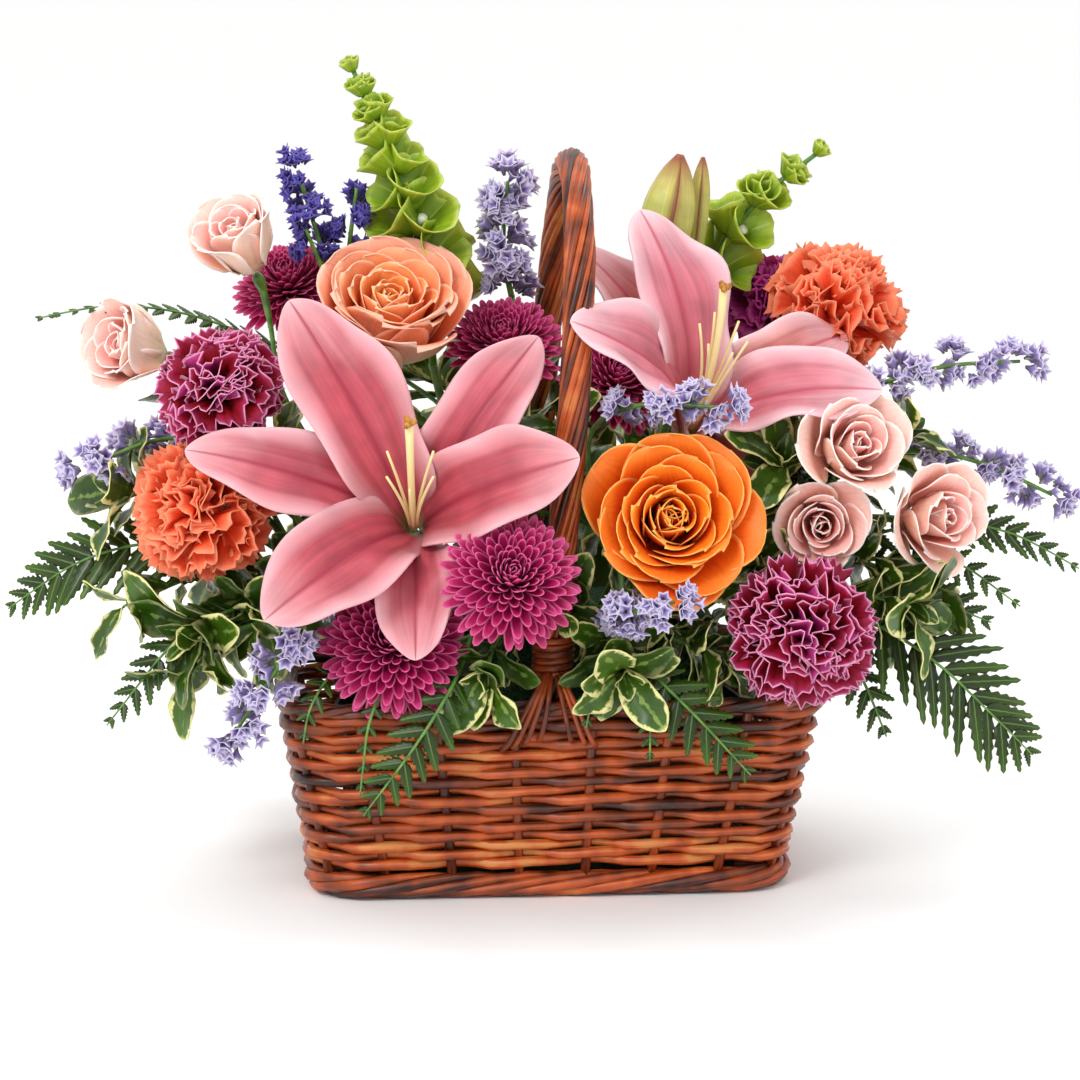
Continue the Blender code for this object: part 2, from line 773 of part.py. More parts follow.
def spray_rose(head, shut):
    """Small rose as one body of nested cups, each rim stepped where one petal laps over the next."""
    place = head.place(SPRAY_MIDDLE)
    rings = [(3.4, 0.0, 0.0, 0.0, 0)]
    rings += [(*ring, layer) for layer, cup in enumerate(SPRAY_RINGS) for ring in cup]
    columns = 3 * SPRAY_PETALS

    def surface(column, row):
        radius, height, lap, edge, layer = rings[row]
        phase = (column + layer) % 3 - 1
        radius = radius * (1 - shut * 0.2 * (height > 18)) + SPRAY_SKEW * lap * phase
        height -= SPRAY_EDGE_DROP * edge * abs(phase)
        turn = 2 * math.pi * (column + 0.25 * phase) / columns
        return place @ Vector((radius * math.cos(turn), radius * math.sin(turn), height))

    return [shell(surface, columns, len(rings) - 1)]


def layered_head(place, seat, layers, columns, outline):
    """One body of stacked skirts: each runs out from the axis to its cut outline and back."""

    def surface(column, row):
        turn = 2 * math.pi * column / columns
        if row == 0:
            radius, height = seat
        elif row % 2 == 0:
            radius, height = layers[row // 2 - 1][2]
        else:
            radius, height = outline(row // 2, *layers[row // 2], column)
        return place @ Vector((radius * math.cos(turn), radius * math.sin(turn), height))

    return [shell(surface, columns, 2 * len(layers))]


CARNATION_MIDDLE = 18.0
CARNATION_COLUMNS = 14
CARNATION_LAYERS = (
    (98.0, 27.0, (5.0, 6.0)),
    (70.0, 30.0, (4.4, 10.0)),
    (43.0, 30.0, (3.0, 14.0)),
    (16.0, 28.0, (1.4, 17.0)),
)
CARNATION_COLOURS = ("coral", "coral", "maroon", "maroon", "magenta")
CARNATIONS = (
    Head((-147.0, -54.0, 167.0), (-0.40, -0.85, 0.30)),
    Head((132.0, 22.0, 243.0), (0.45, -0.35, 0.82)),
    Head((-138.0, -46.0, 219.0), (-0.30, -0.80, 0.50), size=0.92),
    Head((102.0, -92.0, 120.0), (0.28, -0.94, 0.15), size=1.06),
    Head((106.0, 58.0, 236.0), (0.0, -0.50, 0.86), size=0.76),
)


def carnation(head, seed):
    """Pompon of ruffled skirts whose edges weave in and out and are cut into teeth."""
    draw = random.Random(SEED + seed)
    phase = [draw.uniform(0, 6.28) for _ in CARNATION_LAYERS]

    def outline(k, lean, length, root, column):
        turn = 2 * math.pi * column / CARNATION_COLUMNS
        tooth = 1.0 if column % 2 == k % 2 else 0.84
        lean = math.radians(lean + 9 * math.sin(4 * turn + phase[k]) + (3 if column % 2 else -3))
        reach = length * tooth
        return root[0] + reach * math.sin(lean), root[1] + reach * math.cos(lean)

    place = head.place(CARNATION_MIDDLE)
    return layered_head(place, (3.0, 0.0), CARNATION_LAYERS, CARNATION_COLUMNS, outline)


MUM_MIDDLE = 10.0
MUM_PETALS = (9, 9, 7, 7, 7)
MUM_LAYERS = (
    (97.0, 26.0, (5.0, 3.0)),
    (77.0, 25.0, (4.6, 6.0)),
    (57.0, 22.0, (3.8, 8.0)),
    (34.0, 16.0, (1.6, 9.5)),
)
MUMS = (
    Head((-19.0, -100.0, 147.0), (0.02, -0.85, 0.50), size=0.98),
    Head((-68.0, -82.0, 118.0), (-0.12, -0.88, 0.42), size=1.05),
    Head((-16.0, 14.0, 228.0), (-0.10, -0.60, 0.80), size=0.9),
    Head((33.0, 4.0, 212.0), (0.20, -0.72, 0.66), size=0.84),
    Head((-108.0, 30.0, 252.0), (-0.20, -0.50, 0.85), size=0.86),
)


def mum(head, petals):
    """Daisy dome of petal layers, each layer's petals standing over the last one's gaps."""

    def outline(k, lean, length, root, column):
        petal = column % 2 == k % 2
        reach = length if petal else length * 0.36
        lean = math.radians(lean if petal else lean - 4)
        return root[0] + reach * math.sin(lean), root[1] + reach * math.cos(lean)

    place = head.place(MUM_MIDDLE)
    return layered_head(place, (3.0, 0.0), MUM_LAYERS, 2 * petals, outline)


# ---------------------------------------------------------------- stems that carry blooms
BELOW_BLOOM = 25.0


def bloom_stem(head, middle, radius, calyx):
    """Builder of one stem: it ends in the bloom's calyx, a gap's width behind its base."""

    def build(foot, leave, heading, nudge):
        place = head.place(middle)
        axis = Vector(head.axis).normalized()
        low, tall, wide = calyx
        top = place.translation - axis * (GAP - low * head.size)
        route = bent_stem(foot, leave, heading, top - axis * (tall - 1.0), axis, nudge)
        profile = ((radius, 0.0), (wide * 0.8, tall * 0.45), (wide, tall))
        return [tube(route, radius, 4), turned(profile, 5, frame_at(top - axis * tall, axis))]

    return build


def forked_stem(heads, middle, radius, fork, calyx):
    """Builder of one branched stem that carries several blooms."""

    def build(foot, leave, heading, nudge):
        fork_point = Vector(fork) + nudge
        way = (fork_point - leave).normalized()
        pieces = [tube([foot, leave, fork_point], radius, 4)]
        for head in heads:
            axis = Vector(head.axis).normalized()
            top = head.place(middle).translation - axis * GAP
            tall, wide = calyx
            end = top - axis * (tall - 1.0)
            span = (end - fork_point).length
            start = fork_point - way * 1.5
            route = curve_to(start, fork_point + way * span * 0.3, end - axis * span * 0.35, end, 3)
            pieces.append(tube([start, *route], radius * 0.9, 3))
            cup = ((radius * 0.8, 0.0), (wide * 0.8, tall * 0.5), (wide, tall))
            pieces.append(turned(cup, 5, frame_at(top - axis * tall, axis)))
        return pieces

    return build


# ---------------------------------------------------------------- statice, bells and foliage
def along_route(route, frames, share):
    """Frame at a share of a route's points."""
    index = min(share * (len(route) - 1), len(route) - 1.001)
    low = int(index)
    place = frames[low].copy()
    place.translation = route[low].lerp(route[low + 1], index - low)
    return place


def spread_florets(garden, route, first, spacing, size, seed):
    """Small square trumpets on all sides of a branch, left out where they would cross a bloom."""
    draw = random.Random(SEED + seed)
    frames = frames_along(route)
    length = sum((b - a).length for a, b in zip(route, route[1:]))
    count = int(length * (1 - first) / spacing)
    pieces = []
    for k in range(count + 1):
        place = along_route(route, frames, first + (1 - first) * k / count)
        lean = math.radians(draw.uniform(48, 66) if k < count else 8)
        turn = Matrix.Rotation(2.4 * k + draw.uniform(-0.3, 0.3), 4, "Z")
        out = place @ turn @ Matrix.Rotation(lean, 4, "Y")
        floret = turned(((0.0, 0.0), (size * 0.5, size * 1.25)), 4, out)
        if garden.clear_of_all(floret):
            pieces.append(floret)
    return pieces


def sprig(garden, radius, fork, branches, dress):
    """Builder of a branched stem; dress adds what grows on each branch."""

    def build(foot, leave, heading, nudge):
        fork_point = Vector(fork) + nudge
        trunk = tube([foot, leave, leave.lerp(fork_point, 0.5) + heading * 4, fork_point], radius, 4)
        if not garden.clear_of_all(trunk):
            return None
        pieces = [trunk]
        dressing = []
        for branch in branches:
            start = fork_point - (fork_point - leave).normalized() * 1.2
            for sway in NUDGES:
                between = [Vector(point) + sway for point in branch[:-1]]
                route = smooth_route((start, *between, branch[-1]), len(branch) + 1)
                stem = tube(route, radius, 4)
                if garden.clear_of_all(stem):
                    break
            else:
                return None
            pieces.append(stem)
            dressing.append(route)
        for number, route in enumerate(dressing):
            pieces += dress(number, route)
        return pieces

    return build


BELL = ((0.0, 0.0), (4.6, 4.2), (9.0, 12.0), (0.0, 4.6))


def bells(garden, route, first, count, seed):
    """Whorls of open green cups that shrink to small closed ones at the tip."""
    draw = random.Random(SEED + seed)
    frames = frames_along(route)
    pieces = []
    for k in range(count):
        grown = k / (count - 1)
        place = along_route(route, frames, first + (1 - first) * grown**0.85)
        turn = Matrix.Rotation(2.2 * k + draw.uniform(-0.2, 0.2), 4, "Z")
        lean = Matrix.Rotation(math.radians(58 - 46 * grown), 4, "Y")
        cup = turned(BELL, 5, place @ turn @ lean @ Matrix.Scale(1.42 - 0.85 * grown**1.5, 4))
        if garden.clear_of_all(cup):
            pieces.append(cup)
    return pieces


def frond_blade(route, face, width, pairs, thickness=1.3):
    """Fern frond: one thin arched blade, its outline cut to the rib between leaflets."""
    route = smooth_route(route, 32)
    length = sum((b - a).length for a, b in zip(route, route[1:]))
    rows = 2 * pairs

    def surface(across, along):
        row = round(along * rows)
        cut = row % 2 == 0
        envelope = math.sin(math.pi * (0.22 + 0.78 * along)) ** 0.75 if row < rows else 0.0
        half = width / 2 * envelope
        forward = 0.0 if cut else 0.55 * half * abs(across)
        half *= 0.14 if cut else 1.0
        index = min((along + forward / length) * 32, 32.0)
        low = min(int(index), 31)
        middle = route[low].lerp(route[low + 1], index - low) if index < 32 else route[32]
        ahead = (route[low + 1] - route[low]).normalized()
        up = (Vector(face) - ahead * ahead.dot(Vector(face))).normalized()
        return middle + up.cross(ahead) * across * half - up * 0.16 * half * abs(across)

    return blade(surface, 2, rows, thickness)


FROND_LIFTS = (0.0, -5.0, 5.0, -10.0, 10.0, 15.0, -15.0)
FROND_TRIES = [(lift, slim) for lift in FROND_LIFTS for slim in (1.0, 0.75, 0.5)]
FERN_STEM = 1.5
SHOOT_STEM = 1.7


def fern(garden, fork, fronds):
    """Builder of a fern stem with its fronds; a frond that would cross a bloom is bent clear."""

    def build(foot, leave, heading, nudge):
        fork_point = Vector(fork) + nudge
        trunk = tube([foot, leave, fork_point], FERN_STEM, 3)
        if not garden.clear_of_all(trunk):
            return None
        pieces = [trunk]
        for frond in fronds:
            start = fork_point - (fork_point - leave).normalized()
            route = smooth_route((start, *frond.route), 24)
            reach = (Vector(frond.route[0]) - start).length * 0.8
            first = next(k for k, point in enumerate(route) if (point - start).length > reach)
            stalk = tube([route[0], route[first // 2], route[first + 1]], 1.3, 3)
            if not garden.clear_of_all(stalk):
                return None
            rib = route[first:]
            for lift, slim in FROND_TRIES:
                bent = [p + Vector((0.0, 0.0, lift)) * (k / (len(rib) - 1)) for k, p in enumerate(rib)]
                leaf = frond_blade(bent[::4] + [bent[-1]], frond.face, frond.width * slim, frond.pairs)
                if garden.clear_of_all(leaf):
                    pieces += [stalk, leaf]
                    break
        return pieces if len(pieces) > 1 else None

    return build


LEAF = Petal(
    length=36.0,
    width=18.0,
    bend=(34, 58, 76),
    root=(0.2, 0.0),
    root_width=1.6,
    belly=1.35,
    fullness=0.72,
    cup=(16.0, 22.0),
    wave=1.4,
    waves=1.5,
    thickness=1.2,
)

# Turn about the shoot, extra lean and scale of each try at a leaf.
LEAF_TRIES = (
    (0.0, 0.0, 1.0),
    (0.0, 22.0, 1.0),
    (0.0, -22.0, 1.0),
    (18.0, 10.0, 0.9),
    (-18.0, 10.0, 0.9),
    (0.0, 40.0, 0.85),
    (0.0, 0.0, 0.7),
    (24.0, 30.0, 0.7),
    (-24.0, 30.0, 0.7),
)


def leaf_whorl(garden, route, shoot, seed):
    """Pittosporum leaves round a shoot's tip, each tried at a few angles until it is clear."""
    draw = random.Random(SEED + seed)
    place = along_route(route, frames_along(route), 1.0)
    pieces = []
    outer = []
    for k in range(shoot.leaves):
        azimuth = 360 * k / shoot.leaves + 77 + draw.uniform(-12, 12)
        grow = shoot.size * draw.uniform(0.85, 1.1)
        for turn, tilt, scale in LEAF_TRIES:
            bend = tuple(angle + tilt for angle in LEAF.bend)
            length = LEAF.length * grow * scale
            leaf = replace(LEAF, length=length, width=LEAF.width * grow * scale, bend=bend)
            made = petal_blade(leaf, place, azimuth + turn, 2, 3)
            tree = BVHTree.FromBMesh(beyond_root(made, place.translation))
            if garden.clear_of_all(made) and not any(tree.overlap(other) for other in outer):
                pieces.append(made)
                outer.append(tree)
                break
    return pieces


def beyond_root(leaf, root):
    """Copy of a leaf without the end by which it joins its shoot."""
    copy = leaf.copy()
    near = [face for face in copy.faces if (face.calc_center_median() - root).length < 7.0]
    bmesh.ops.delete(copy, geom=near, context="FACES")
    return copy


STATICE_STEM = 1.4


@dataclass(frozen=True)
class Statice:
    """A spray: its fork, its branches' routes from there, the share of each at which the florets
    start, and the florets' spacing and size."""

    fork: tuple
    branches: tuple
    firsts: tuple
    spacing: float
    size: float


STATICE = {
    "statice_blue": Statice(
        (-84.0, 22.0, 236.0),
        (
            ((-92.0, 20.0, 262.0), (-103.0, 16.0, 300.0)),
            ((-92.0, 14.0, 256.0), (-100.0, 8.0, 276.0)),
            ((-82.0, 22.0, 262.0), (-78.0, 20.0, 292.0)),
        ),
        (0.5, 0.6, 0.5),
        6.6,
        7.5,
    ),
    "statice_middle": Statice(
        (-16.0, 34.0, 244.0),
        (((-15.0, 30.0, 266.0), (-13.0, 26.0, 294.0)),),
        (0.0,),
        4.6,
        10.0,
    ),
    "statice_left": Statice(
        (-98.0, -34.0, 146.0),
        (
            ((-120.0, -22.0, 178.0), (-150.0, -24.0, 194.0), (-192.0, -34.0, 182.0)),
            ((-98.0, -62.0, 139.0), (-108.0, -80.0, 116.0), (-132.0, -86.0, 80.0)),
        ),
        (0.5, 0.3),
        6.8,
        9.6,
    ),
    "statice_front": Statice(
        (30.0, -44.0, 140.0),
        (
            ((16.0, -36.0, 180.0), (26.0, -56.0, 208.0), (68.0, -78.0, 211.0)),
            ((28.0, -74.0, 128.0), (24.0, -90.0, 128.0), (46.0, -104.0, 136.0)),
        ),
        (0.6, 0.45),
        6.2,
        8.5,
    ),
    "statice_right": Statice(
        (110.0, -6.0, 168.0),
        (
            ((130.0, -10.0, 200.0), (160.0, -14.0, 216.0), (204.0, -10.0, 219.0)),
            ((140.0, -8.0, 178.0), (176.0, -16.0, 180.0), (217.0, -22.0, 163.0)),
        ),
        (0.36, 0.42),
        7.0,
        8.8,
    ),
}


@dataclass(frozen=True)
class Spike:
    """A stem with cups: its radius, its fork, its route from there and how many cups it carries."""

    radius: float
    fork: tuple
    route: tuple
    cups: int


BELLS = {
    "bells_of_ireland_left": Spike(
        1.9,
        (-46.0, 26.0, 216.0),
        ((-50.0, 22.0, 262.0), (-62.0, 18.0, 304.0), (-79.0, 15.0, 342.0)),
        9,
    ),
    "bells_of_ireland_right": Spike(
        1.9,
        (66.0, 50.0, 206.0),
        ((72.0, 52.0, 240.0), (90.0, 42.0, 276.0), (121.0, 34.0, 304.0)),
        6,
    ),
}


@dataclass(frozen=True)
class Frond:
    """A frond's route from the fork, the way its upper face looks, its width and pairs of leaflets."""

    route: tuple
    face: tuple
    width: float
    pairs: int


FERNS = {
    "fern_left": (
        (-112.0, -24.0, 126.0),
        (
            Frond(
                (
                    (-140.0, -26.0, 142.0),
                    (-168.0, -28.0, 148.0),
                    (-198.0, -28.0, 140.0),
                    (-227.0, -22.0, 120.0),
                ),
                (-0.1, -0.8, 0.6),
                46.0,
                6,
            ),
            Frond(
                ((-134.0, -44.0, 122.0), (-156.0, -54.0, 112.0), (-185.0, -60.0, 78.0)),
                (-0.3, -0.8, 0.5),
                28.0,
                5,
            ),
        ),
    ),
    "fern_front_left": (
        (-34.0, -54.0, 112.0),
        (
            Frond(
                ((-42.0, -82.0, 99.0), (-58.0, -93.0, 76.0), (-80.0, -96.0, 47.0)),
                (0.0, -0.9, 0.4),
                30.0,
                5,
            ),
            Frond(
                ((-62.0, -66.0, 105.0), (-76.0, -86.0, 95.0), (-81.0, -91.0, 70.0)),
                (-0.1, -0.95, 0.3),
                20.0,
                3,
            ),
            Frond(
                ((-82.0, -62.0, 104.0), (-99.0, -84.0, 94.0), (-104.0, -88.0, 76.0)),
                (-0.1, -0.95, 0.3),
                16.0,
                3,
            ),
        ),
    ),
    "fern_front_right": (
        (30.0, -56.0, 110.0),
        (
            Frond(
                ((42.0, -82.0, 99.0), (58.0, -92.0, 84.0), (79.0, -95.0, 61.0)),
                (0.0, -0.9, 0.4),
                34.0,
                5,
            ),
            Frond(
                ((36.0, -80.0, 97.0), (38.0, -88.0, 84.0), (38.0, -89.0, 66.0)),
                (0.0, -0.98, 0.2),
                14.0,
                3,
            ),
            Frond(
                ((20.0, -70.0, 100.0), (15.0, -84.0, 94.0), (12.0, -86.0, 80.0)),
                (0.0, -0.98, 0.2),
                14.0,
                3,
            ),
        ),
    ),
    "fern_right": (
        (112.0, -28.0, 112.0),
        (
            Frond(
                (
                    (134.0, -46.0, 114.0),
                    (160.0, -58.0, 100.0),
                    (182.0, -64.0, 80.0),
                    (202.0, -66.0, 60.0),
                ),
                (0.2, -0.8, 0.5),
                60.0,
                7,
            ),
            Frond(
                ((122.0, -42.0, 106.0), (132.0, -50.0, 90.0), (142.0, -54.0, 66.0)),
                (0.3, -0.85, 0.3),
                26.0,
                4,
            ),
            Frond(
                ((130.0, -34.0, 116.0), (158.0, -38.0, 122.0), (188.0, -42.0, 112.0)),
                (0.2, -0.8, 0.6),
                36.0,
                5,
            ),
        ),
    ),
    "fern_right_upper": (
        (112.0, -14.0, 130.0),
        (
            Frond(
                (
                    (140.0, -20.0, 146.0),
                    (172.0, -26.0, 152.0),
                    (200.0, -28.0, 147.0),
                    (228.0, -28.0, 132.0),
                ),
                (0.1, -0.7, 0.7),
                30.0,
                6,
            ),
            Frond(
                ((142.0, -22.0, 136.0), (172.0, -32.0, 137.0), (201.0, -38.0, 118.0)),
                (0.1, -0.8, 0.6),
                22.0,
                5,
            ),
        ),
    ),
    "fern_back": (
        (-30.0, 52.0, 132.0),
        (
            Frond(
                ((-52.0, 78.0, 138.0), (-78.0, 100.0, 128.0), (-104.0, 112.0, 96.0)),
                (-0.3, 0.8, 0.6),
                52.0,
                6,
            ),
            Frond(
                ((-22.0, 84.0, 134.0), (-20.0, 108.0, 118.0), (-26.0, 118.0, 88.0)),
                (0.0, 0.8, 0.6),
                46.0,
                5,
            ),
            Frond(
                (
                    (-60.0, 60.0, 180.0),
                    (-110.0, 40.0, 214.0),
                    (-168.0, 12.0, 232.0),
                    (-212.0, -6.0, 226.0),
                ),
                (-0.2, -0.5, 0.8),
                26.0,
                5,
            ),
        ),
    ),
}


@dataclass(frozen=True)
class Shoot:
    """A leafy shoot: its route from the fork, the leaves round its tip and their size."""

    route: tuple
    leaves: int
    size: float


PITTOSPORUM = {
    "pittosporum_left": (
        (-104.0, -14.0, 136.0),
        (
            Shoot(((-136.0, -8.0, 162.0), (-172.0, -24.0, 170.0)), 6, 1.15),
            Shoot(((-122.0, -34.0, 118.0), (-144.0, -54.0, 117.0)), 6, 1.25),
        ),
    ),
    "pittosporum_front": (
        (20.0, -50.0, 122.0),
        (
            Shoot(((-6.0, -47.5, 122.0), (-22.0, -56.0, 112.0), (-28.0, -74.0, 103.0)), 4, 0.95),
            Shoot(((24.0, -64.0, 112.0), (27.0, -82.0, 104.0)), 4, 0.95),
            Shoot(((48.0, -58.0, 112.0), (72.0, -68.0, 104.0)), 4, 0.95),
        ),
    ),
    "pittosporum_right": (
        (92.0, -18.0, 142.0),
        (
            Shoot(((100.0, -26.0, 162.0), (98.0, -42.0, 180.0)), 5, 0.95),
            Shoot(((116.0, -20.0, 168.0), (150.0, -26.0, 190.0)), 3, 0.8),
            Shoot(((124.0, -40.0, 128.0), (148.0, -56.0, 124.0)), 5, 1.0),
        ),
    ),
    "pittosporum_back": (
        (24.0, 40.0, 142.0),
        (
            Shoot(((40.0, 66.0, 160.0), (58.0, 84.0, 168.0)), 4, 1.5),
            Shoot(((30.0, 78.0, 128.0), (32.0, 100.0, 112.0)), 4, 1.5),
            Shoot(((66.0, 56.0, 140.0), (98.0, 72.0, 126.0)), 4, 1.5),
            Shoot(((-10.0, 44.0, 176.0), (-44.0, 56.0, 204.0)), 4, 1.5),
        ),
    ),
}

COLOURS = {
    "willow": ((0.30, 0.085, 0.028), 0.55),
    "liner": ((0.03, 0.06, 0.03), 0.4),
    "foam": ((0.05, 0.16, 0.07), 0.9),
    "lily_pink": ((0.80, 0.24, 0.34), 0.5),
    "pistil": ((0.75, 0.55, 0.12), 0.5),
    "bud": ((0.42, 0.50, 0.16), 0.5),
    "peach": ((0.90, 0.38, 0.20), 0.55),
    "orange": ((0.90, 0.28, 0.03), 0.5),
    "blush": ((0.86, 0.52, 0.48), 0.55),
    "coral": ((0.85, 0.18, 0.07), 0.6),
    "maroon": ((0.28, 0.01, 0.06), 0.6),
    "magenta": ((0.45, 0.03, 0.22), 0.6),
    "lavender": ((0.40, 0.36, 0.70), 0.7),
    "blue": ((0.08, 0.05, 0.32), 0.7),
    "apple_green": ((0.30, 0.48, 0.07), 0.5),
    "stem_green": ((0.10, 0.20, 0.05), 0.55),
    "fern_green": ((0.04, 0.13, 0.03), 0.5),
    "leaf_green": ((0.14, 0.22, 0.05), 0.4),
}


# ---------------------------------------------------------------- assembly
def build_holder(garden, look):
    garden.add("wicker_basket", [basket()], look["willow"])
    garden.add("handle", handle(), look["willow"])
    garden.add("handle_lashing_front", lashing(True), look["willow"])
    garden.add("handle_lashing_back", lashing(False), look["willow"])
    garden.add("plastic_liner", liner(), look["liner"])


def build_blooms(garden, look):
    for number, (head, table) in enumerate(((LILY_1, LILY_1_TEPALS), (LILY_2, LILY_2_TEPALS)), 1):
        garden.add(f"lily_{number}_tepals", lily_tepals(head, table), look["lily_pink"])
        garden.add(f"lily_{number}_stamens", lily_stamens(head), look["pistil"])
    garden.seat("rose_1", ROSE_1, partial(rose, shut=0.34), look["peach"])
    garden.seat("rose_2", ROSE_2, partial(rose, shut=0.0), look["orange"])
    for number, (head, petals) in enumerate(zip(MUMS, MUM_PETALS), 1):
        garden.seat(f"chrysanthemum_{number}", head, partial(mum, petals=petals), look["magenta"])
    for number, (head, shut) in enumerate(zip(SPRAY_ROSES, SPRAY_SHUT), 1):
        garden.seat(f"spray_rose_{number}", head, partial(spray_rose, shut=shut), look["blush"])
    for number, (head, colour) in enumerate(zip(CARNATIONS, CARNATION_COLOURS), 1):
        garden.seat(f"carnation_{number}", head, partial(carnation, seed=number), look[colour])
    garden.add("lily_bud_large", lily_bud(BUD_LARGE), look["bud"])
    garden.add("lily_bud_small", lily_bud(BUD_SMALL), look["bud"])


def single_stems(garden):
    """Each bloom that has a stem to itself: its head, its middle, the stem's radius and calyx."""
    for number, head in enumerate((LILY_1, LILY_2), 1):
        yield f"lily_{number}_stem", head, LILY_MIDDLE, 2.8, (-2.0, 5.0, 3.0)
    for number in (1, 2):
        yield f"rose_{number}_stem", garden.heads[f"rose_{number}"], ROSE_MIDDLE, 2.4, (0.0, 9.0, 5.0)
    for number in range(1, len(CARNATIONS) + 1):
        head = garden.heads[f"carnation_{number}"]
        yield f"carnation_{number}_stem", head, CARNATION_MIDDLE, 1.8, (0.0, 20.0, 4.8)


def build_stems(garden, look):
    green = look["stem_green"]
    for name, head, middle, radius, calyx in single_stems(garden):
        base = head.place(middle).translation - Vector(head.axis) * BELOW_BLOOM
        plant(garden, name, radius, base, bloom_stem(head, middle, radius, calyx), green)
    mums = [garden.heads[f"chrysanthemum_{n}"] for n in range(1, len(MUMS) + 1)]
    sprays = [garden.heads[f"spray_rose_{n}"] for n in range(1, len(SPRAY_ROSES) + 1)]
    buds = [Head(bud.base, Vector(bud.tip) - Vector(bud.base)) for bud in (BUD_LARGE, BUD_SMALL)]
    forks = (
        ("chrysanthemum_stem_front", mums[:2], MUM_MIDDLE, 1.8, (-42.0, -48.0, 122.0), (3.0, 3.0)),
        ("chrysanthemum_stem_back", mums[2:], MUM_MIDDLE, 1.8, (-26.0, 32.0, 180.0), (3.0, 3.0)),
        ("spray_rose_stem_left", sprays[:2], SPRAY_MIDDLE, 1.8, (-108.0, 6.0, 196.0), (8.0, 3.4)),
        ("spray_rose_stem_right", sprays[2:], SPRAY_MIDDLE, 1.8, (118.0, -22.0, 154.0), (8.0, 3.4)),
        ("lily_bud_stem", buds, 0.0, 2.2, (52.0, 20.0, 196.0), (2.0, 2.2)),
    )
    for name, heads, middle, radius, fork, calyx in forks:
        plant(garden, name, radius, fork, forked_stem(heads, middle, radius, fork, calyx), green)


def build_fillers(garden, look):
    for seed, (name, spike) in enumerate(BELLS.items()):

        def cups(_, route, spike=spike, seed=seed):
            return bells(garden, route, 0.2, spike.cups, seed)

        build = sprig(garden, spike.radius, spike.fork, (spike.route,), cups)
        plant(garden, name, spike.radius, spike.fork, build, look["apple_green"])
    for seed, (name, spray) in enumerate(STATICE.items()):

        def florets(k, route, spray=spray, seed=seed):
            first, spacing, size = spray.firsts[k], spray.spacing, spray.size
            return spread_florets(garden, route, first, spacing, size, 10 * seed + k)

        build = sprig(garden, STATICE_STEM, spray.fork, spray.branches, florets)
        colour = look["blue" if name == "statice_blue" else "lavender"]
        plant(garden, name, STATICE_STEM, spray.fork, build, colour)


def build_foliage(garden, look):
    for name, (fork, fronds) in FERNS.items():
        plant(garden, name, FERN_STEM, fork, fern(garden, fork, fronds), look["fern_green"])
    for seed, (name, (fork, shoots)) in enumerate(PITTOSPORUM.items()):

        def leaves(k, route, shoots=shoots, seed=seed):
            return leaf_whorl(garden, route, shoots[k], 43 + 10 * seed + k)

        build = sprig(garden, SHOOT_STEM, fork, [shoot.route for shoot in shoots], leaves)
        plant(garden, name, SHOOT_STEM, fork, build, look["leaf_green"])


def build_foam(garden, look):
    """The foam comes last, because every stem has by then its hole in it."""
    block = foam_block()
    holder = make_collection("foam_hole_cutters")
    for number, (_, cutter) in enumerate(garden.holes):
        mesh_object(f"hole_{number}", cutter, holder)
    node = mesh_object("uncut_foam", block, garden.parts)
    apply_boolean(node, holder, "DIFFERENCE")
    bm = bmesh.new()
    bm.from_mesh(node.data)
    bpy.data.objects.remove(node)
    garden.add("floral_foam", [bm], look["foam"])


def main():
    clear_scene()
    garden = Arrangement()
    look = {name: material(name, colour, rough) for name, (colour, rough) in COLOURS.items()}
    build_holder(garden, look)
    build_blooms(garden, look)
    build_stems(garden, look)
    build_fillers(garden, look)
    build_foliage(garden, look)
    build_foam(garden, look)


main()
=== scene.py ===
"""Looks of the flower basket arrangement: woven basket, cut flowers, foliage, light and camera.

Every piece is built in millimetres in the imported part's own frame and scaled to metres as it is
placed: +Z is up, +X runs along the basket, and the front faces -Y.
"""

import logging
from collections.abc import Callable, Iterator, Sequence
from dataclasses import dataclass, fields, replace
from enum import Enum
from functools import partial
from math import atan2, copysign, cos, degrees, exp, pi, radians, sin, sqrt
from random import Random

import bmesh
import bpy
from mathutils import Matrix, Vector, noise
from mathutils.bvhtree import BVHTree
from mathutils.kdtree import KDTree


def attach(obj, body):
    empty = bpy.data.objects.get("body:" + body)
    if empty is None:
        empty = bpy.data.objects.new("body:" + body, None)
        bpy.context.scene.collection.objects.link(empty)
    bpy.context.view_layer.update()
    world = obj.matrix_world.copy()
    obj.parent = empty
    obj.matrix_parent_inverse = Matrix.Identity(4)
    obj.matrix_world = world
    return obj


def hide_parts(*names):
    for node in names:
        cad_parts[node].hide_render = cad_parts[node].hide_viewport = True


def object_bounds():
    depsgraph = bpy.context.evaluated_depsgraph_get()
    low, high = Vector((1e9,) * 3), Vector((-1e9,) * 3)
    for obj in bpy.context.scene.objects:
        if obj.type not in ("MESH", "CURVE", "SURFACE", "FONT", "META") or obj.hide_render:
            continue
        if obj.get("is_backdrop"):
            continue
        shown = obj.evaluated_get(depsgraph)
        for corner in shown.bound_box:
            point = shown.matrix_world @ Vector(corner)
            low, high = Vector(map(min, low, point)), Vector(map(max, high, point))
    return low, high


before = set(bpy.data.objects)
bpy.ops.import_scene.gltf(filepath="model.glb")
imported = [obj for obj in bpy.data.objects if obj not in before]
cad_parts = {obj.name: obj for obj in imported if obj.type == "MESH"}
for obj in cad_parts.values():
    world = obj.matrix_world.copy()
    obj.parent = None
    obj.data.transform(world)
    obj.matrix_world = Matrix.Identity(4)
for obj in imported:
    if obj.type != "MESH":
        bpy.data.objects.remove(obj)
CAD_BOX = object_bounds()

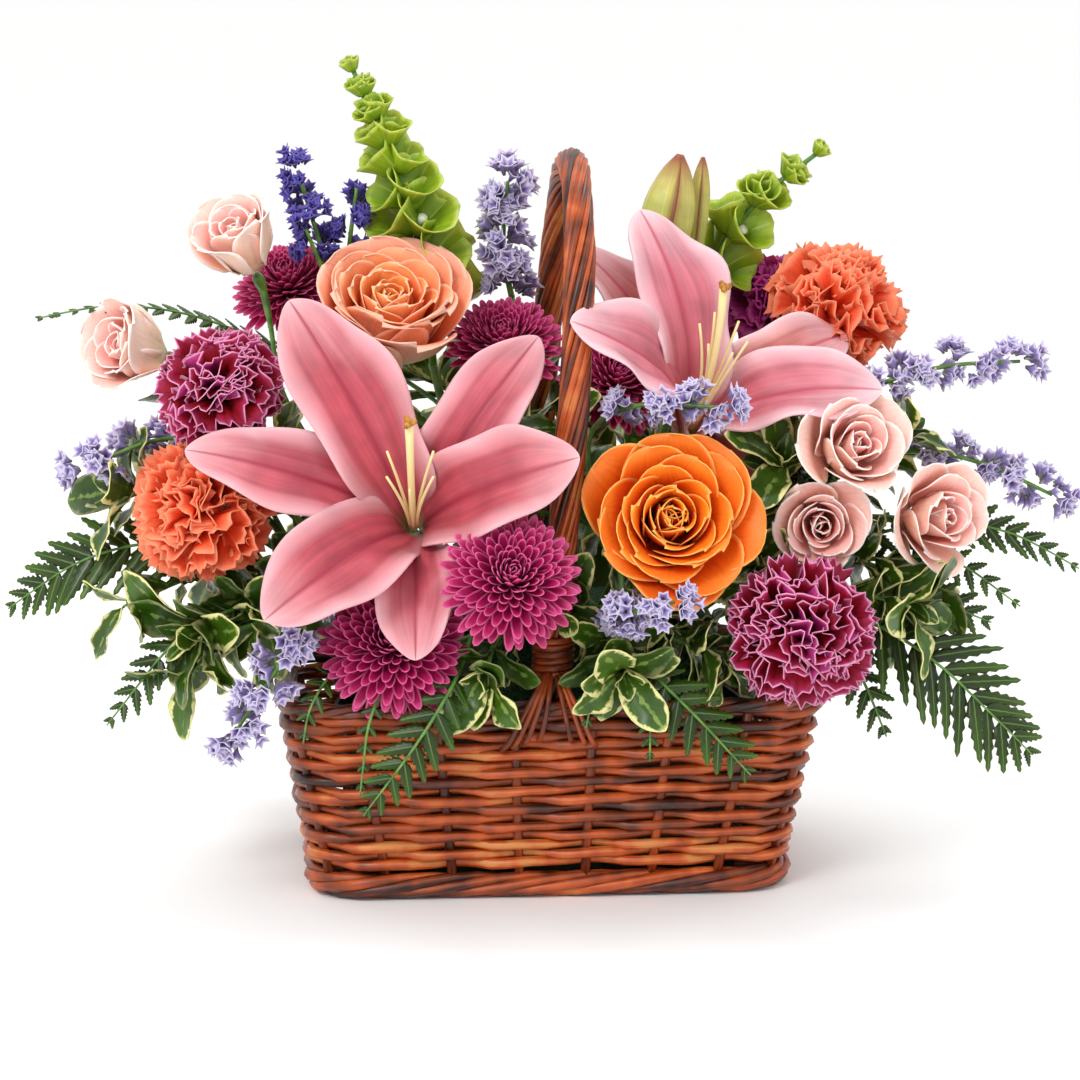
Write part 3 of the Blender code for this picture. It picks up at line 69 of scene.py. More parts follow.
MM = 0.001
WELD = 0.002
ROOT = "root"
SEED = 20
GOLDEN = radians(137.508)
GOLDEN_DEGREES = degrees(GOLDEN)

logging.basicConfig(level=logging.INFO, format="%(message)s")
log = logging.getLogger("flower_basket")

Point = tuple[float, float, float]
Surface = Callable[[float, float], Vector]
Stops = tuple[tuple[float, str], ...]


# -------- colour and nodes
def linear(code: str) -> tuple[float, float, float, float]:
    """Linear colour of an sRGB hex value.

    Args:
        code: The colour as six hex digits after a hash sign.

    Returns:
        Red, green, blue and an alpha of one.
    """
    shares = (int(code[k : k + 2], 16) / 255 for k in (1, 3, 5))
    return (*(s / 12.92 if s <= 0.04045 else ((s + 0.055) / 1.055) ** 2.4 for s in shares), 1)


def add_node(
    tree: bpy.types.NodeTree, kind: str, inputs: dict | None = None, stops: Stops = (),
    **settings: object,
) -> bpy.types.Node:
    """Adds one node with its settings and links.

    Args:
        tree: The material's node tree.
        kind: Blender's name for the kind of node, without the ShaderNode that it starts with.
        inputs: What its inputs take, by their number or name: a node or a socket to read, or a
            constant.
        stops: Places and hex colours, for a node with a colour ramp.
        **settings: Properties of the node itself.

    Returns:
        The new node.
    """
    made = tree.nodes.new("ShaderNode" + kind)
    for name, value in settings.items():
        setattr(made, name, value)
    for key, value in (inputs or {}).items():
        if isinstance(value, bpy.types.Node):
            value = value.outputs[0]
        if isinstance(value, bpy.types.NodeSocket):
            tree.links.new(value, made.inputs[key])
        else:
            made.inputs[key].default_value = value
    if stops:
        points = made.color_ramp.elements
        points.remove(points[1])
        for number, (place, code) in enumerate(stops):
            point = points.new(place) if number else points[0]
            point.position = place
            point.color = linear(code)
    return made


MIX_FACTOR, MIX_A, MIX_B, MIX_RESULT = 0, 6, 7, 2


class Finish:
    """A surface finish, made as a Blender material the first time that a piece asks for it.

    Attributes:
        name: The material's name.
    """

    name: str

    def shade(self, tree: bpy.types.NodeTree) -> bpy.types.Node:
        """Builds the finish's nodes.

        Args:
            tree: The material's node tree.

        Returns:
            The shader that they end in.
        """
        raise NotImplementedError

    def material(self) -> bpy.types.Material:
        """Returns the finish as a material."""
        made = bpy.data.materials.get(self.name)
        if made is None:
            made = bpy.data.materials.new(self.name)
            made.use_nodes = True
            made.node_tree.nodes.clear()
            add_node(made.node_tree, "OutputMaterial", {0: self.shade(made.node_tree)})
        return made


def light_under_skin(weight: float, reach_mm: float) -> dict:
    """Shader inputs of soft tissue: light goes in and comes out a little further on, redder.

    Args:
        weight: Weight of the light that passes under the skin.
        reach_mm: How far it goes.

    Returns:
        The values by the inputs' names.
    """
    reds_go_further = (1, 0.45, 0.3)
    named = {"Weight": weight, "Radius": reds_go_further, "Scale": reach_mm * MM}
    return {f"Subsurface {name}": value for name, value in named.items()}


@dataclass(frozen=True)
class Tissue(Finish):
    """Petal or leaf tissue, grown: a waxy, faintly translucent skin with streaks along its veins.

    Attributes:
        name: The material's name.
        heart: Colours from root to tip of the tissue whose tone is 0.
        guard: Colours from root to tip of the tissue whose tone is 1, where they differ.
        margin: Colour of the rim.
        rim: Width of the rim, as a share of the sheet's half width, and its strength.
        ragged: How far a noise moves the rim's inner edge.
        plain: Tone below which a sheet has hardly any rim.
        rib: Colour of the mid rib.
        rib_band: Width of the rib, as a share of the half width, and its strength.
        streaks: Number of vein streaks across the sheet.
        streak_depth: Strength of the streaks in the colour.
        mottle_mm: Size of the soft blotches.
        mottle_depth: Strength of the blotches in the colour.
        rough: Roughness of the skin.
        glow: Weight of the light that passes under the skin.
        vein_relief_mm: Height of the streaks.
    """

    name: str
    heart: Stops
    guard: Stops = ()
    margin: str = "#000000"
    rim: tuple[float, float] = (0.12, 0.6)
    ragged: float = 0.0
    plain: float = 0.0
    rib: str = "#000000"
    rib_band: tuple[float, float] = (0.1, 0)
    streaks: float = 14.0
    streak_depth: float = 0.25
    mottle_mm: float = 7.0
    mottle_depth: float = 0.15
    rough: float = 0.48
    glow: float = 0.18
    vein_relief_mm: float = 0.12

    def shade(self, tree: bpy.types.NodeTree) -> bpy.types.Node:
        """Builds the tissue's nodes, as Finish.shade says."""
        add = partial(add_node, tree)
        uv = add("UVMap", uv_map="sheet")
        across, along, _ = add("SeparateXYZ", {0: uv}).outputs
        tone = add("Attribute", attribute_name="tone").outputs["Fac"]
        place = add("TexCoord").outputs["Object"]
        heart = add("ValToRGB", {0: along}, self.heart)
        guard = add("ValToRGB", {0: along}, self.guard or self.heart)
        mixed = add("Mix", {MIX_FACTOR: tone, MIX_A: heart, MIX_B: guard}, data_type="RGBA")
        stretch = add("Mapping", {0: uv, "Scale": (self.streaks, 1.3, 1)})
        streak = add("TexNoise", {0: stretch, "Scale": 1, "Detail": 3})
        blotch = add("TexNoise", {0: place, "Scale": 1 / (self.mottle_mm * MM), "Detail": 2})
        for pattern, depth in ((streak, self.streak_depth), (blotch, self.mottle_depth)):
            level = add(
                "MapRange", {0: pattern, 1: 0.38, 2: 0.7, 3: 1 + depth * 0.35, 4: 1 - depth}
            )
            grey = add("CombineXYZ", {0: level, 1: level, 2: level})
            inputs = {MIX_FACTOR: 1, MIX_A: mixed.outputs[MIX_RESULT], MIX_B: grey}
            mixed = add("Mix", inputs, data_type="RGBA", blend_type="MULTIPLY")
        inward = add("Math", {0: across, 1: 0.5}, operation="PINGPONG")
        if self.ragged:
            shake = add("TexNoise", {0: place, "Scale": 1 / (4 * MM), "Detail": 2})
            shift = add("MapRange", {0: shake, 1: 0.3, 2: 0.7, 3: -self.ragged, 4: self.ragged})
            inward = add("Math", {0: inward, 1: shift}, operation="ADD")
        width, strength = self.rim
        sides = add("MapRange", {0: inward, 1: 0, 2: width / 2, 3: strength, 4: 0})
        tip = add("MapRange", {0: along, 1: 1 - width, 2: 1, 3: 0, 4: strength})
        rim = add("Math", {0: sides, 1: tip}, operation="MAXIMUM")
        if self.plain:
            fade = add("MapRange", {0: tone, 1: self.plain - 0.2, 2: self.plain, 3: 0.12})
            rim = add("Math", {0: rim, 1: fade}, operation="MULTIPLY")
        width, strength = self.rib_band
        rib = add("MapRange", {0: inward, 1: 0.5 - width / 2, 2: 0.5, 3: 0, 4: strength})
        for mask, colour in ((rim, self.margin), (rib, self.rib)):
            inputs = {MIX_FACTOR: mask, MIX_A: mixed.outputs[MIX_RESULT], MIX_B: linear(colour)}
            mixed = add("Mix", inputs, data_type="RGBA")
        height = self.vein_relief_mm * MM
        relief = add("Bump", {"Height": streak, "Strength": 0.5, "Distance": height})
        skin = {"Roughness": self.rough, "IOR": 1.42, **light_under_skin(self.glow, 2.5)}
        base = mixed.outputs[MIX_RESULT]
        return add("BsdfPrincipled", {"Base Color": base, "Normal": relief, **skin})


@dataclass(frozen=True)
class Cane(Finish):
    """Willow cane, boiled, stained and oiled: a satin bark with long fibres and darker knots.

    Attributes:
        name: The material's name.
        shades: Colours of the canes, from the darkest tone to the lightest.
        fibre_mm: Width of the fibres, drawn coarser than they are so that they show.
    """

    name: str
    shades: Stops
    fibre_mm: float = 0.5

    def shade(self, tree: bpy.types.NodeTree) -> bpy.types.Node:
        """Builds the cane's nodes, as Finish.shade says."""
        add = partial(add_node, tree)
        uv = add("UVMap", uv_map="sheet")
        tone = add("Attribute", attribute_name="tone").outputs["Fac"]
        place = add("TexCoord").outputs["Object"]
        stretch = add("Mapping", {0: uv, "Scale": (6, 0.12, 1)})
        fibre = add("TexNoise", {0: stretch, "Scale": 1, "Detail": 4})
        patch = add("TexNoise", {0: place, "Scale": 1 / (14 * MM), "Detail": 2})
        both = add("Math", {0: fibre, 1: patch}, operation="ADD")
        swing = add("MapRange", {0: both, 1: 0.75, 2: 1.25, 3: -0.34, 4: 0.34})
        level = add("Math", {0: tone, 1: swing}, operation="ADD", use_clamp=True)
        colour = add("ValToRGB", {0: level}, self.shades)
        height = self.fibre_mm * 0.4 * MM
        relief = add("Bump", {"Height": fibre, "Strength": 0.6, "Distance": height})
        rough = add("MapRange", {0: patch, 1: 0.3, 2: 0.7, 3: 0.34, 4: 0.55})
        oil = {"Roughness": rough, "Coat Weight": 0.12, "Coat Roughness": 0.3}
        return add("BsdfPrincipled", {"Base Color": colour, "Normal": relief, **oil})


@dataclass(frozen=True)
class Skin(Finish):
    """A plain grown or moulded skin: two shades mixed by a grain of a given size.

    Attributes:
        name: The material's name.
        dark: The darker shade.
        light: The lighter shade.
        grain_mm: Size of the grain.
        relief_mm: Height of the grain.
        rough: Roughness.
        glow: Weight of the light that passes under the skin.
        cells: Whether the grain is one of round cells, as in foam.
    """

    name: str
    dark: str
    light: str
    grain_mm: float
    relief_mm: float = 0.1
    rough: float = 0.5
    glow: float = 0.0
    cells: bool = False

    def shade(self, tree: bpy.types.NodeTree) -> bpy.types.Node:
        """Builds the skin's nodes, as Finish.shade says."""
        add = partial(add_node, tree)
        place = add("TexCoord").outputs["Object"]
        kind = "TexVoronoi" if self.cells else "TexNoise"
        grain = add(kind, {0: place, "Scale": 1 / (self.grain_mm * MM)})
        colour = add("ValToRGB", {0: grain}, ((0.3, self.dark), (0.7, self.light)))
        height = self.relief_mm * MM
        relief = add("Bump", {"Height": grain, "Strength": 0.5, "Distance": height})
        skin = {"Roughness": self.rough, **light_under_skin(self.glow, 2)}
        return add("BsdfPrincipled", {"Base Color": colour, "Normal": relief, **skin})


# -------- mesh kit
def frame_at(place: Sequence[float], axis: Sequence[float], roll: float = 0.0) -> Matrix:
    """Frame with +Z along an axis and +Y as near to upright as it can be.

    Args:
        place: The frame's origin, in millimetres.
        axis: Direction of its +Z.
        roll: Turn about that axis, in degrees.

    Returns:
        The frame as a matrix.
    """
    z = Vector(axis).normalized()
    x = Vector((0, 0, 1)).cross(z)
    if x.length < 0.01:
        x = Vector((1, 0, 0))
    x.normalize()
    matrix = Matrix((x, z.cross(x), z)).transposed().to_4x4()
    matrix.translation = Vector(place)
    return matrix @ Matrix.Rotation(radians(roll), 4, "Z")


def polar(radius: float, turn: float, height: float = 0.0) -> Vector:
    """Point at a distance from the Z axis, a turn about it in radians and a height."""
    return Vector((radius * cos(turn), radius * sin(turn), height))


def smooth_route(points: Sequence[Sequence[float]], stations: int) -> list[Vector]:
    """Evenly parted points along a smooth curve.

    Args:
        points: Points that the curve runs through.
        stations: Number of steps along it.

    Returns:
        One point more than there are steps.
    """
    points = [Vector(p) for p in points]
    ends = [2 * points[0] - points[1]] + points + [2 * points[-1] - points[-2]]
    fine = []
    steps = 12
    for a, b, c, d in zip(ends, ends[1:], ends[2:], ends[3:]):
        for k in range(steps):
            t = k / steps
            bend = (2 * a - 5 * b + 4 * c - d) * t**2 + (3 * b - a - 3 * c + d) * t**3
            fine.append(0.5 * (2 * b + (c - a) * t + bend))
    fine.append(points[-1])
    lengths = [0]
    for a, b in zip(fine, fine[1:]):
        lengths.append(lengths[-1] + (b - a).length)
    route = []
    k = 0
    for station in range(stations + 1):
        want = lengths[-1] * station / stations
        while k < len(fine) - 2 and lengths[k + 1] < want:
            k += 1
        share = (want - lengths[k]) / max(lengths[k + 1] - lengths[k], 1e-6)
        route.append(fine[k].lerp(fine[k + 1], min(share, 1)))
    return route


def frames_along(route: Sequence[Vector]) -> list[Matrix]:
    """A frame at each point of a route, turned as little as possible from one to the next.

    Args:
        route: The points, in millimetres.

    Returns:
        One frame for each point, with +Z along the route.
    """
    frames = []
    x = None
    for k, point in enumerate(route):
        z = (route[min(k + 1, len(route) - 1)] - route[max(k - 1, 0)]).normalized()
        x = z.orthogonal().normalized() if x is None else x
        x = (x - z * x.dot(z)).normalized()
        matrix = Matrix((x, z.cross(x), z)).transposed().to_4x4()
        matrix.translation = point
        frames.append(matrix)
    return frames


def ring_frames(route: Sequence[Vector]) -> list[Matrix]:
    """Frames round a closed route, turned evenly so that the last one meets the first.

    Args:
        route: The points, without the first one again at the end.

    Returns:
        One frame for each point, and one more for the first.
    """
    frames = frames_along([route[-1], *route, route[0], route[1]])[1:-1]
    x, y, _, _ = (column.xyz for column in frames[0].col)
    back = frames[-1].col[0].xyz
    slip = atan2(back.dot(y), back.dot(x))
    last = len(frames) - 1
    return [place @ Matrix.Rotation(-slip * k / last, 4, "Z") for k, place in enumerate(frames)]


def length_of(route: Sequence[Vector]) -> float:
    """Length of a route."""
    return sum((b - a).length for a, b in zip(route, route[1:]))


def along_route(route: Sequence[Vector], frames: Sequence[Matrix], share: float) -> Matrix:
    """Frame at a share of a route's points.

    Args:
        route: The points.
        frames: Their frames.
        share: From 0 at the first point to 1 at the last.

    Returns:
        The nearest earlier frame, moved to the place.
    """
    index = min(share * (len(route) - 1), len(route) - 1.001)
    low = int(index)
    place = frames[low].copy()
    place.translation = route[low].lerp(route[low + 1], index - low)
    return place


def place_piece(
    bm: bmesh.types.BMesh, name: str, finishes: Sequence[Finish], slot: str, node: str
) -> bpy.types.Object:
    """Places a mesh as a piece of the arrangement, and frees it.

    Args:
        bm: The mesh in metres.
        name: The piece's name.
        finishes: Its finishes.
        slot: Not used.
        node: The CAD node that it stands for.

    Returns:
        The new object.
    """
    mesh = bpy.data.meshes.new(name)
    bm.to_mesh(mesh)
    bm.free()
    for finish in finishes:
        mesh.materials.append(finish.material())
    mesh.shade_smooth()
    obj = bpy.data.objects.new(name, mesh)
    bpy.context.scene.collection.objects.link(obj)
    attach(obj, ROOT)
    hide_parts(node)
    log.info("%s: %d faces for %s", name, len(mesh.polygons), node)
    return obj


class Growth:
    """A mesh in millimetres that grows by sheets and rods.

    Each sheet has its own UV square, across and along it, and each rod the UV of its turn and its
    length. The tone is a number from 0 to 1 that a finish may read.
    """

    def __init__(self) -> None:
        """Starts with nothing."""
        self.bm = bmesh.new()
        self.uv = self.bm.loops.layers.uv.new("sheet")
        self.tone = self.bm.verts.layers.float.new("tone")

    def sheet(
        self, surface: Surface, columns: int, rows: int, tone: float = 0.5,
        size: tuple[float, float] = (1.0, 1.0), fill: bool = False,
    ) -> None:
        """Adds a grid laid over a surface.

        Args:
            surface: Point at (across, along), which run -1..1 and 0..1.
            columns: Faces across.
            rows: Faces along.
            tone: The sheet's tone.
            size: Extent of the sheet's UV square.
            fill: Whether open ends are closed by a face.
        """
        made = bmesh.ops.create_grid(self.bm, x_segments=columns, y_segments=rows, size=1)
        verts = made["verts"]
        for face in {face for vert in verts for face in vert.link_faces}:
            for loop in face.loops:
                u, v = (loop.vert.co.x + 1) / 2, (loop.vert.co.y + 1) / 2
                loop[self.uv].uv = (u * size[0], v * size[1])
        for vert in verts:
            vert.co = surface(vert.co.x, (vert.co.y + 1) / 2)
            vert[self.tone] = tone
        bmesh.ops.remove_doubles(self.bm, verts=verts, dist=WELD)
        if fill:
            rim = [e for v in verts if v.is_valid for e in v.link_edges if e.is_boundary]
            bmesh.ops.holes_fill(self.bm, edges=list(set(rim)), sides=0)

    def rod(
        self, route: Sequence[Vector], radius: float | Callable[[float], float], sides: int = 6,
        tone: float = 0.5, closed: bool = False,
    ) -> None:
        """Adds a round rod along a route.

        Args:
            route: Its centre line.
            radius: Its radius, or a function of the share of its length.
            sides: Faces round it.
            tone: Its tone.
            closed: Whether the last point joins the first.
        """
        frames = ring_frames(route) if closed else frames_along(route)
        last = len(frames) - 1

        def surface(across: float, along: float) -> Vector:
            """Point of the rod's skin."""
            row = round(along * last)
            size = radius(along) if callable(radius) else radius
            turn = -pi * (across + 1)
            return frames[row] @ polar(size, turn)

        reach = length_of(route) / 10
        self.sheet(surface, sides, last, tone, (1, reach), fill=not closed)

    def piece(
        self, name: str, finishes: Sequence[Finish], slot: str, node: str, thickness: float = 0.0
    ) -> None:
        """Ends this growth and places it as a piece of the arrangement.

        Args:
            name: The piece's name.
            finishes: Its finish, or those of its underside and its upper side.
            slot: The record's material slot.
            node: The CAD node that it stands for.
            thickness: Thickness of its sheets in millimetres, or 0 for closed bodies.
        """
        if not thickness:
            bmesh.ops.recalc_face_normals(self.bm, faces=self.bm.faces)
        bmesh.ops.scale(self.bm, vec=(MM, MM, MM), verts=self.bm.verts)
        obj = place_piece(self.bm, name, finishes, slot, node)
        if thickness:
            solid = obj.modifiers.new("Thickness", "SOLIDIFY")
            solid.thickness = thickness * MM
            solid.offset = 0.0
            solid.material_offset = solid.material_offset_rim = len(finishes) - 1


class CadNode:
    """The points of one CAD node in millimetres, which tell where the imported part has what."""

    def __init__(self, name: str) -> None:
        """Reads a node.

        Args:
            name: The node's name.
        """
        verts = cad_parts[name].data.vertices
        self.name = name
        self.points = [vert.co / MM for vert in verts]
        self.tree = KDTree(len(verts))
        for k, point in enumerate(self.points):
            self.tree.insert(point, k)
        self.tree.balance()

    def has_point(self, point: Vector, within: float = 0.05) -> bool:
        """Whether a corner of the node lies at a point."""
        return self.tree.find(point)[2] < within

    def has_ring(self, centre: Vector, radius: float) -> bool:
        """Whether at least three corners lie at one distance from a centre.

        Args:
            centre: The centre.
            radius: The distance.

        Returns:
            True if they do.
        """
        near = self.tree.find_range(centre, radius + 0.05)
        found = {tuple(round(x, 2) for x in co) for co, _, dist in near if dist > radius - 0.05}
        return len(found) >= 3

    def rings(self, centres: Sequence[Vector], radius: float) -> int:
        """How many corners lie at one distance from any of several centres."""
        return sum(
            abs(dist - radius) < 0.06 for centre in centres
            for _, _, dist in self.tree.find_range(centre, radius + 0.06)
        )

    def distance(self, point: Vector) -> float:
        """Distance from a point to the node's nearest corner."""
        return self.tree.find(point)[2]


# -------- basket
def rounded_rectangle(
    share: float, half_x: float, half_y: float, corner: float
) -> tuple[Vector, Vector]:
    """Point and outward normal at a share of the way round a rounded rectangle, from +X.

    Args:
        share: How far round, anticlockwise.
        half_x: Half its length.
        half_y: Half its width.
        corner: Its corner radius.

    Returns:
        The point and the outward normal, both in the plane.
    """
    runs = (half_y - corner, 2 * (half_x - corner), 2 * (half_y - corner), 2 * (half_x - corner))
    arc = corner * pi / 2
    left = (share % 1) * (sum(runs) + half_y - corner + 4 * arc)
    middle = Vector((half_x - corner, 0))
    heading = 0.0
    for run in (*runs, half_y - corner):
        out = Vector((cos(heading), sin(heading)))
        ahead = Vector((-out.y, out.x))
        if left <= run:
            return middle + ahead * left + out * corner, out
        middle += ahead * run
        left -= run
        if left <= arc:
            turn = heading + left / corner
            out = Vector((cos(turn), sin(turn)))
            return middle + out * corner, out
        left -= arc
        heading += pi / 2
    return middle + Vector((1, 0)) * corner, Vector((1, 0))


# Peeled willow, boiled, stained and oiled: red-brown to orange canes with a satin shine.
WILLOW = Cane(
    "stained_willow_cane",
    (
        (0, "#220800"), (0.22, "#561e05"), (0.42, "#80360e"), (0.6, "#a2420e"), (0.8, "#c0541a"),
        (1, "#ca7e3e"),
    ),
)


@dataclass(frozen=True)
class RopeBorder:
    """A border of canes twisted round the wall.

    Attributes:
        height: Height of its middle.
        inset: Distance of its middle inside the wall's outer face.
        spread: Distance of each strand from that middle.
        cane: Radius of a strand.
        strands: Number of strands.
        turns: Turns of the twist round the whole wall.
    """

    height: float
    inset: float
    spread: float
    cane: float
    strands: int
    turns: int


@dataclass
class WovenBasket:
    """Oblong basket: canes woven in and out of upright stakes, between two roped borders.

    Attributes:
        top: Length and width at the rim.
        foot: Length and width at the foot.
        height: Height of the wall.
        corner: Corner radius.
        stakes: Number of upright stakes.
        rows: Rows of weaving between the borders.
        weave: Heights between which the rows lie.
        cane: Radius of a weaver.
        swing: How far a weaver goes to each side of the wall's middle.
        wall_middle: Distance of that middle inside the wall's outer face.
        borders: The roped borders at the foot and at the rim.
        base_height: Height of the middle of the flat base.
        base_pitch: Spacing of its canes.
    """

    top: tuple[float, float] = (232, 150)
    foot: tuple[float, float] = (202, 120)
    height: float = 88.0
    corner: float = 24.0
    stakes: int = 22
    rows: int = 17
    weave: tuple[float, float] = (13.5, 82.5)
    cane: float = 2.3
    swing: float = 2.4
    wall_middle: float = 3.6
    borders: tuple[RopeBorder, RopeBorder] = (
        RopeBorder(height=6, inset=3.2, spread=3.3, cane=2.5, strands=5, turns=5),
        RopeBorder(height=84.6, inset=3.4, spread=1.7, cane=2.1, strands=3, turns=14),
    )
    base_height: float = 4.2
    base_pitch: float = 4.4

    def wall_point(self, share: float, height: float, inset: float) -> Vector:
        """Point of the wall.

        Args:
            share: How far round the wall, from 0 to 1.
            height: Its height.
            inset: Its distance inside the outer face.

        Returns:
            The point.
        """
        rise = height / self.height
        half = [(low + (high - low) * rise) / 2 for low, high in zip(self.foot, self.top)]
        point, out = rounded_rectangle(share, *half, self.corner)
        place = point - out * inset
        return Vector((place.x, place.y, height))

    def weave_rows(self, canes: Growth, draw: Random) -> None:
        """Weaves the rows, each passing outside one stake and inside the next.

        Args:
            canes: The mesh that they are added to.
            draw: Source of the uneven heights and tones.
        """
        low, high = self.weave
        per_stake = 5
        for row in range(self.rows):
            height = low + (high - low) * (row + 0.5) / self.rows
            drift = draw.uniform(0, 100)
            route = []
            for k in range(self.stakes * per_stake):
                share = k / (self.stakes * per_stake)
                over = cos(pi * (self.stakes * share + row))
                over = copysign(abs(over) ** 0.7, over)
                rise = 2.0 * noise.noise(Vector((9 * share + drift, row, 0)))
                rise += 0.75 * over * sin(pi * (self.stakes * share + row) + 0.8)
                route.append(
                    self.wall_point(share, height + rise, self.wall_middle - self.swing * over)
                )
            wide = self.cane * draw.uniform(0.85, 1.1)
            seed = draw.uniform(0, 100)

            def radius(along: float, wide: float = wide, seed: float = seed) -> float:
                """Uneven radius of a cane."""
                turn = 2 * pi * along
                spot = Vector((4 * cos(turn) + seed, 4 * sin(turn), row))
                return wide * (1 + 0.3 * noise.noise(spot))

            canes.rod(route, radius, 6, draw.uniform(0.18, 0.8), closed=True)

    def rope_border(self, canes: Growth, draw: Random, border: RopeBorder) -> None:
        """Twists a border round the wall.

        Args:
            canes: The mesh that it is added to.
            draw: Source of the uneven tones.
            border: The border.
        """
        stations = border.turns * 12
        for strand in range(border.strands):
            route = []
            for k in range(stations):
                share = k / stations
                turn = 2 * pi * (border.turns * share + strand / border.strands)
                height = border.height + border.spread * sin(turn)
                inset = border.inset - border.spread * cos(turn)
                route.append(self.wall_point(share, height, inset))
            wide = border.cane * draw.uniform(0.88, 1.06)
            canes.rod(route, wide, 7, draw.uniform(0.15, 0.66), closed=True)

    def stakes_and_base(self, canes: Growth, draw: Random) -> None:
        """Adds the upright stakes, and the canes of the flat base.

        Args:
            canes: The mesh that they are added to.
            draw: Source of the uneven tones.
        """
        for stake in range(self.stakes):
            share = stake / self.stakes
            route = [self.wall_point(share, z, self.wall_middle) for z in (3, 30, 60, 86)]
            canes.rod(route, 2.1, 6, draw.uniform(0.25, 0.55))
        half_x, half_y = self.foot[0] / 2 - 5, self.foot[1] / 2 - 5
        rows = int(half_y / self.base_pitch)
        for k in range(-rows, rows + 1):
            y = k * self.base_pitch
            bevel = max(abs(y) - (half_y - self.corner), 0)
            reach = half_x - self.corner + sqrt(max(self.corner**2 - bevel**2, 0))
            shares = (x / 10 for x in range(-10, 11))
            route = [
                Vector((reach * s, y, self.base_height + 0.9 * cos(pi * (5 * s + k))))
                for s in shares
            ]
            canes.rod(route, 2.2, 6, draw.uniform(0.3, 0.6))
        for k in range(-2, 3):
            x = k * half_x * 0.4
            ends = [Vector((x, y, self.base_height)) for y in (-half_y, half_y)]
            canes.rod(ends, 2.4, 6, 0.4)

    def build(self) -> None:
        """Builds the basket and places it."""
        draw = Random(SEED)
        canes = Growth()
        self.weave_rows(canes, draw)
        for border in self.borders:
            self.rope_border(canes, draw, border)
        self.stakes_and_base(canes, draw)
        canes.piece("woven_willow_basket", [WILLOW], "willow", "wicker_basket")


@dataclass
class RopeHandle:
    """Arched handle: a bundle of willow canes twisted into a rope.

    Attributes:
        radius: Radius of the bundle.
        canes: Number of canes that show round it.
        cane: Radius of one cane.
        pitch: Length of one turn of the twist.
        route: Centre line of the arch.
    """

    radius: float = 6.6
    canes: int = 12
    cane: float = 1.6
    pitch: float = 150.0
    route: tuple[Point, ...] = (
        (-1, -52.4, 46), (-0.5, -60, 92), (3.5, -64, 150), (8.5, -63, 212), (11.5, -53, 262),
        (12.5, -29, 294), (12.5, 0, 304), (11.5, 29, 294), (9.5, 53, 262), (5.5, 63, 212),
        (2, 64, 150), (0, 60, 92), (0, 52.4, 46),
    )

    def line(self, stations: int) -> list[Vector]:
        """Centre line of the arch, from the front leg's foot to the back one's."""
        return smooth_route(self.route, stations)

    def build(self) -> None:
        """Builds the handle and places it."""
        draw = Random(SEED + 1)
        line = self.line(150)
        frames = frames_along(line)
        step = (line[1] - line[0]).length
        bundle = Growth()
        for cane in range(self.canes):
            wander = draw.uniform(0, 50)
            route = []
            for k, place in enumerate(frames):
                turn = 2 * pi * (cane / self.canes + step * k / self.pitch)
                turn += 0.10 * noise.noise(Vector((k * 0.09, wander, 0)))
                out = self.radius - self.cane
                out += 0.35 * noise.noise(Vector((k * 0.13, wander, 5)))
                route.append(place @ polar(out, turn))
            wide = self.cane * draw.uniform(0.78, 1.08)
            bundle.rod(route, wide, 7, draw.choice((0.14, 0.3, 0.45, 0.7)))
        bundle.rod(line, self.radius - 1.8 * self.cane, 6, 0.1)
        bundle.piece("twisted_rope_handle", [WILLOW], "willow", "handle")


class Side(Enum):
    """The two sides of the basket that the handle is lashed to."""

    FRONT = -1
    BACK = 1


@dataclass
class HandleLashing:
    """Cane wound round one leg of the handle above the rim, its ends tucked into the weave.

    Attributes:
        handle: The handle that it is wound round.
        side: The leg's side.
        foot: Height of its lowest turn.
        turns: Number of turns.
        cane: Radius of the cane.
        rise: Rise of one turn.
    """

    handle: RopeHandle
    side: Side
    foot: float = 96.0
    turns: int = 6
    cane: float = 1.5
    rise: float = 2.9

    def build(self) -> None:
        """Builds the lashing and places it."""
        sign = self.side.value
        leg = [p for p in self.handle.line(400) if p.y * sign > 0 and p.z < 160]
        draw = Random(SEED + 2 + sign)
        wound = Growth()
        route = []
        per_turn = 14
        for k in range(self.turns * per_turn + 1):
            height = self.foot + self.rise * k / per_turn
            centre = min(leg, key=lambda point: abs(point.z - height))
            turn = 2 * pi * k / per_turn
            out = self.handle.radius + self.cane * 0.75
            place = Vector((centre.x + out * cos(turn), centre.y + out * sin(turn), height))
            route.append(place)
        wound.rod(route, self.cane, 7, 0.5)
        foot = min(leg, key=lambda point: abs(point.z - self.foot))
        tails = (-1.25, -1, -0.72, -0.35, 0.4, 0.75, 1)
        for number, spread in enumerate(tails):
            near = abs(spread)
            tail = smooth_route(
                (
                    (
                        foot.x + 3 * spread, foot.y + sign * (6.4 + 0.7 * (number % 2)),
                        self.foot + 3,
                    ),
                    (foot.x + 6 * spread, sign * 76.6, 93),
                    (foot.x + 9.5 * spread, sign * 79.2, 86),
                    (foot.x + 15 * spread, sign * 77.4, 77 - 4 * near),
                    (foot.x + 17.5 * spread, sign * 73, 73 - 4 * near),
                ),
                14,
            )
            wound.rod(tail, 1.15, 6, draw.uniform(0.25, 0.65))
        side_name = self.side.name.lower()
        wound.piece(f"cane_lashing_{side_name}", [WILLOW], "willow", f"handle_lashing_{side_name}")


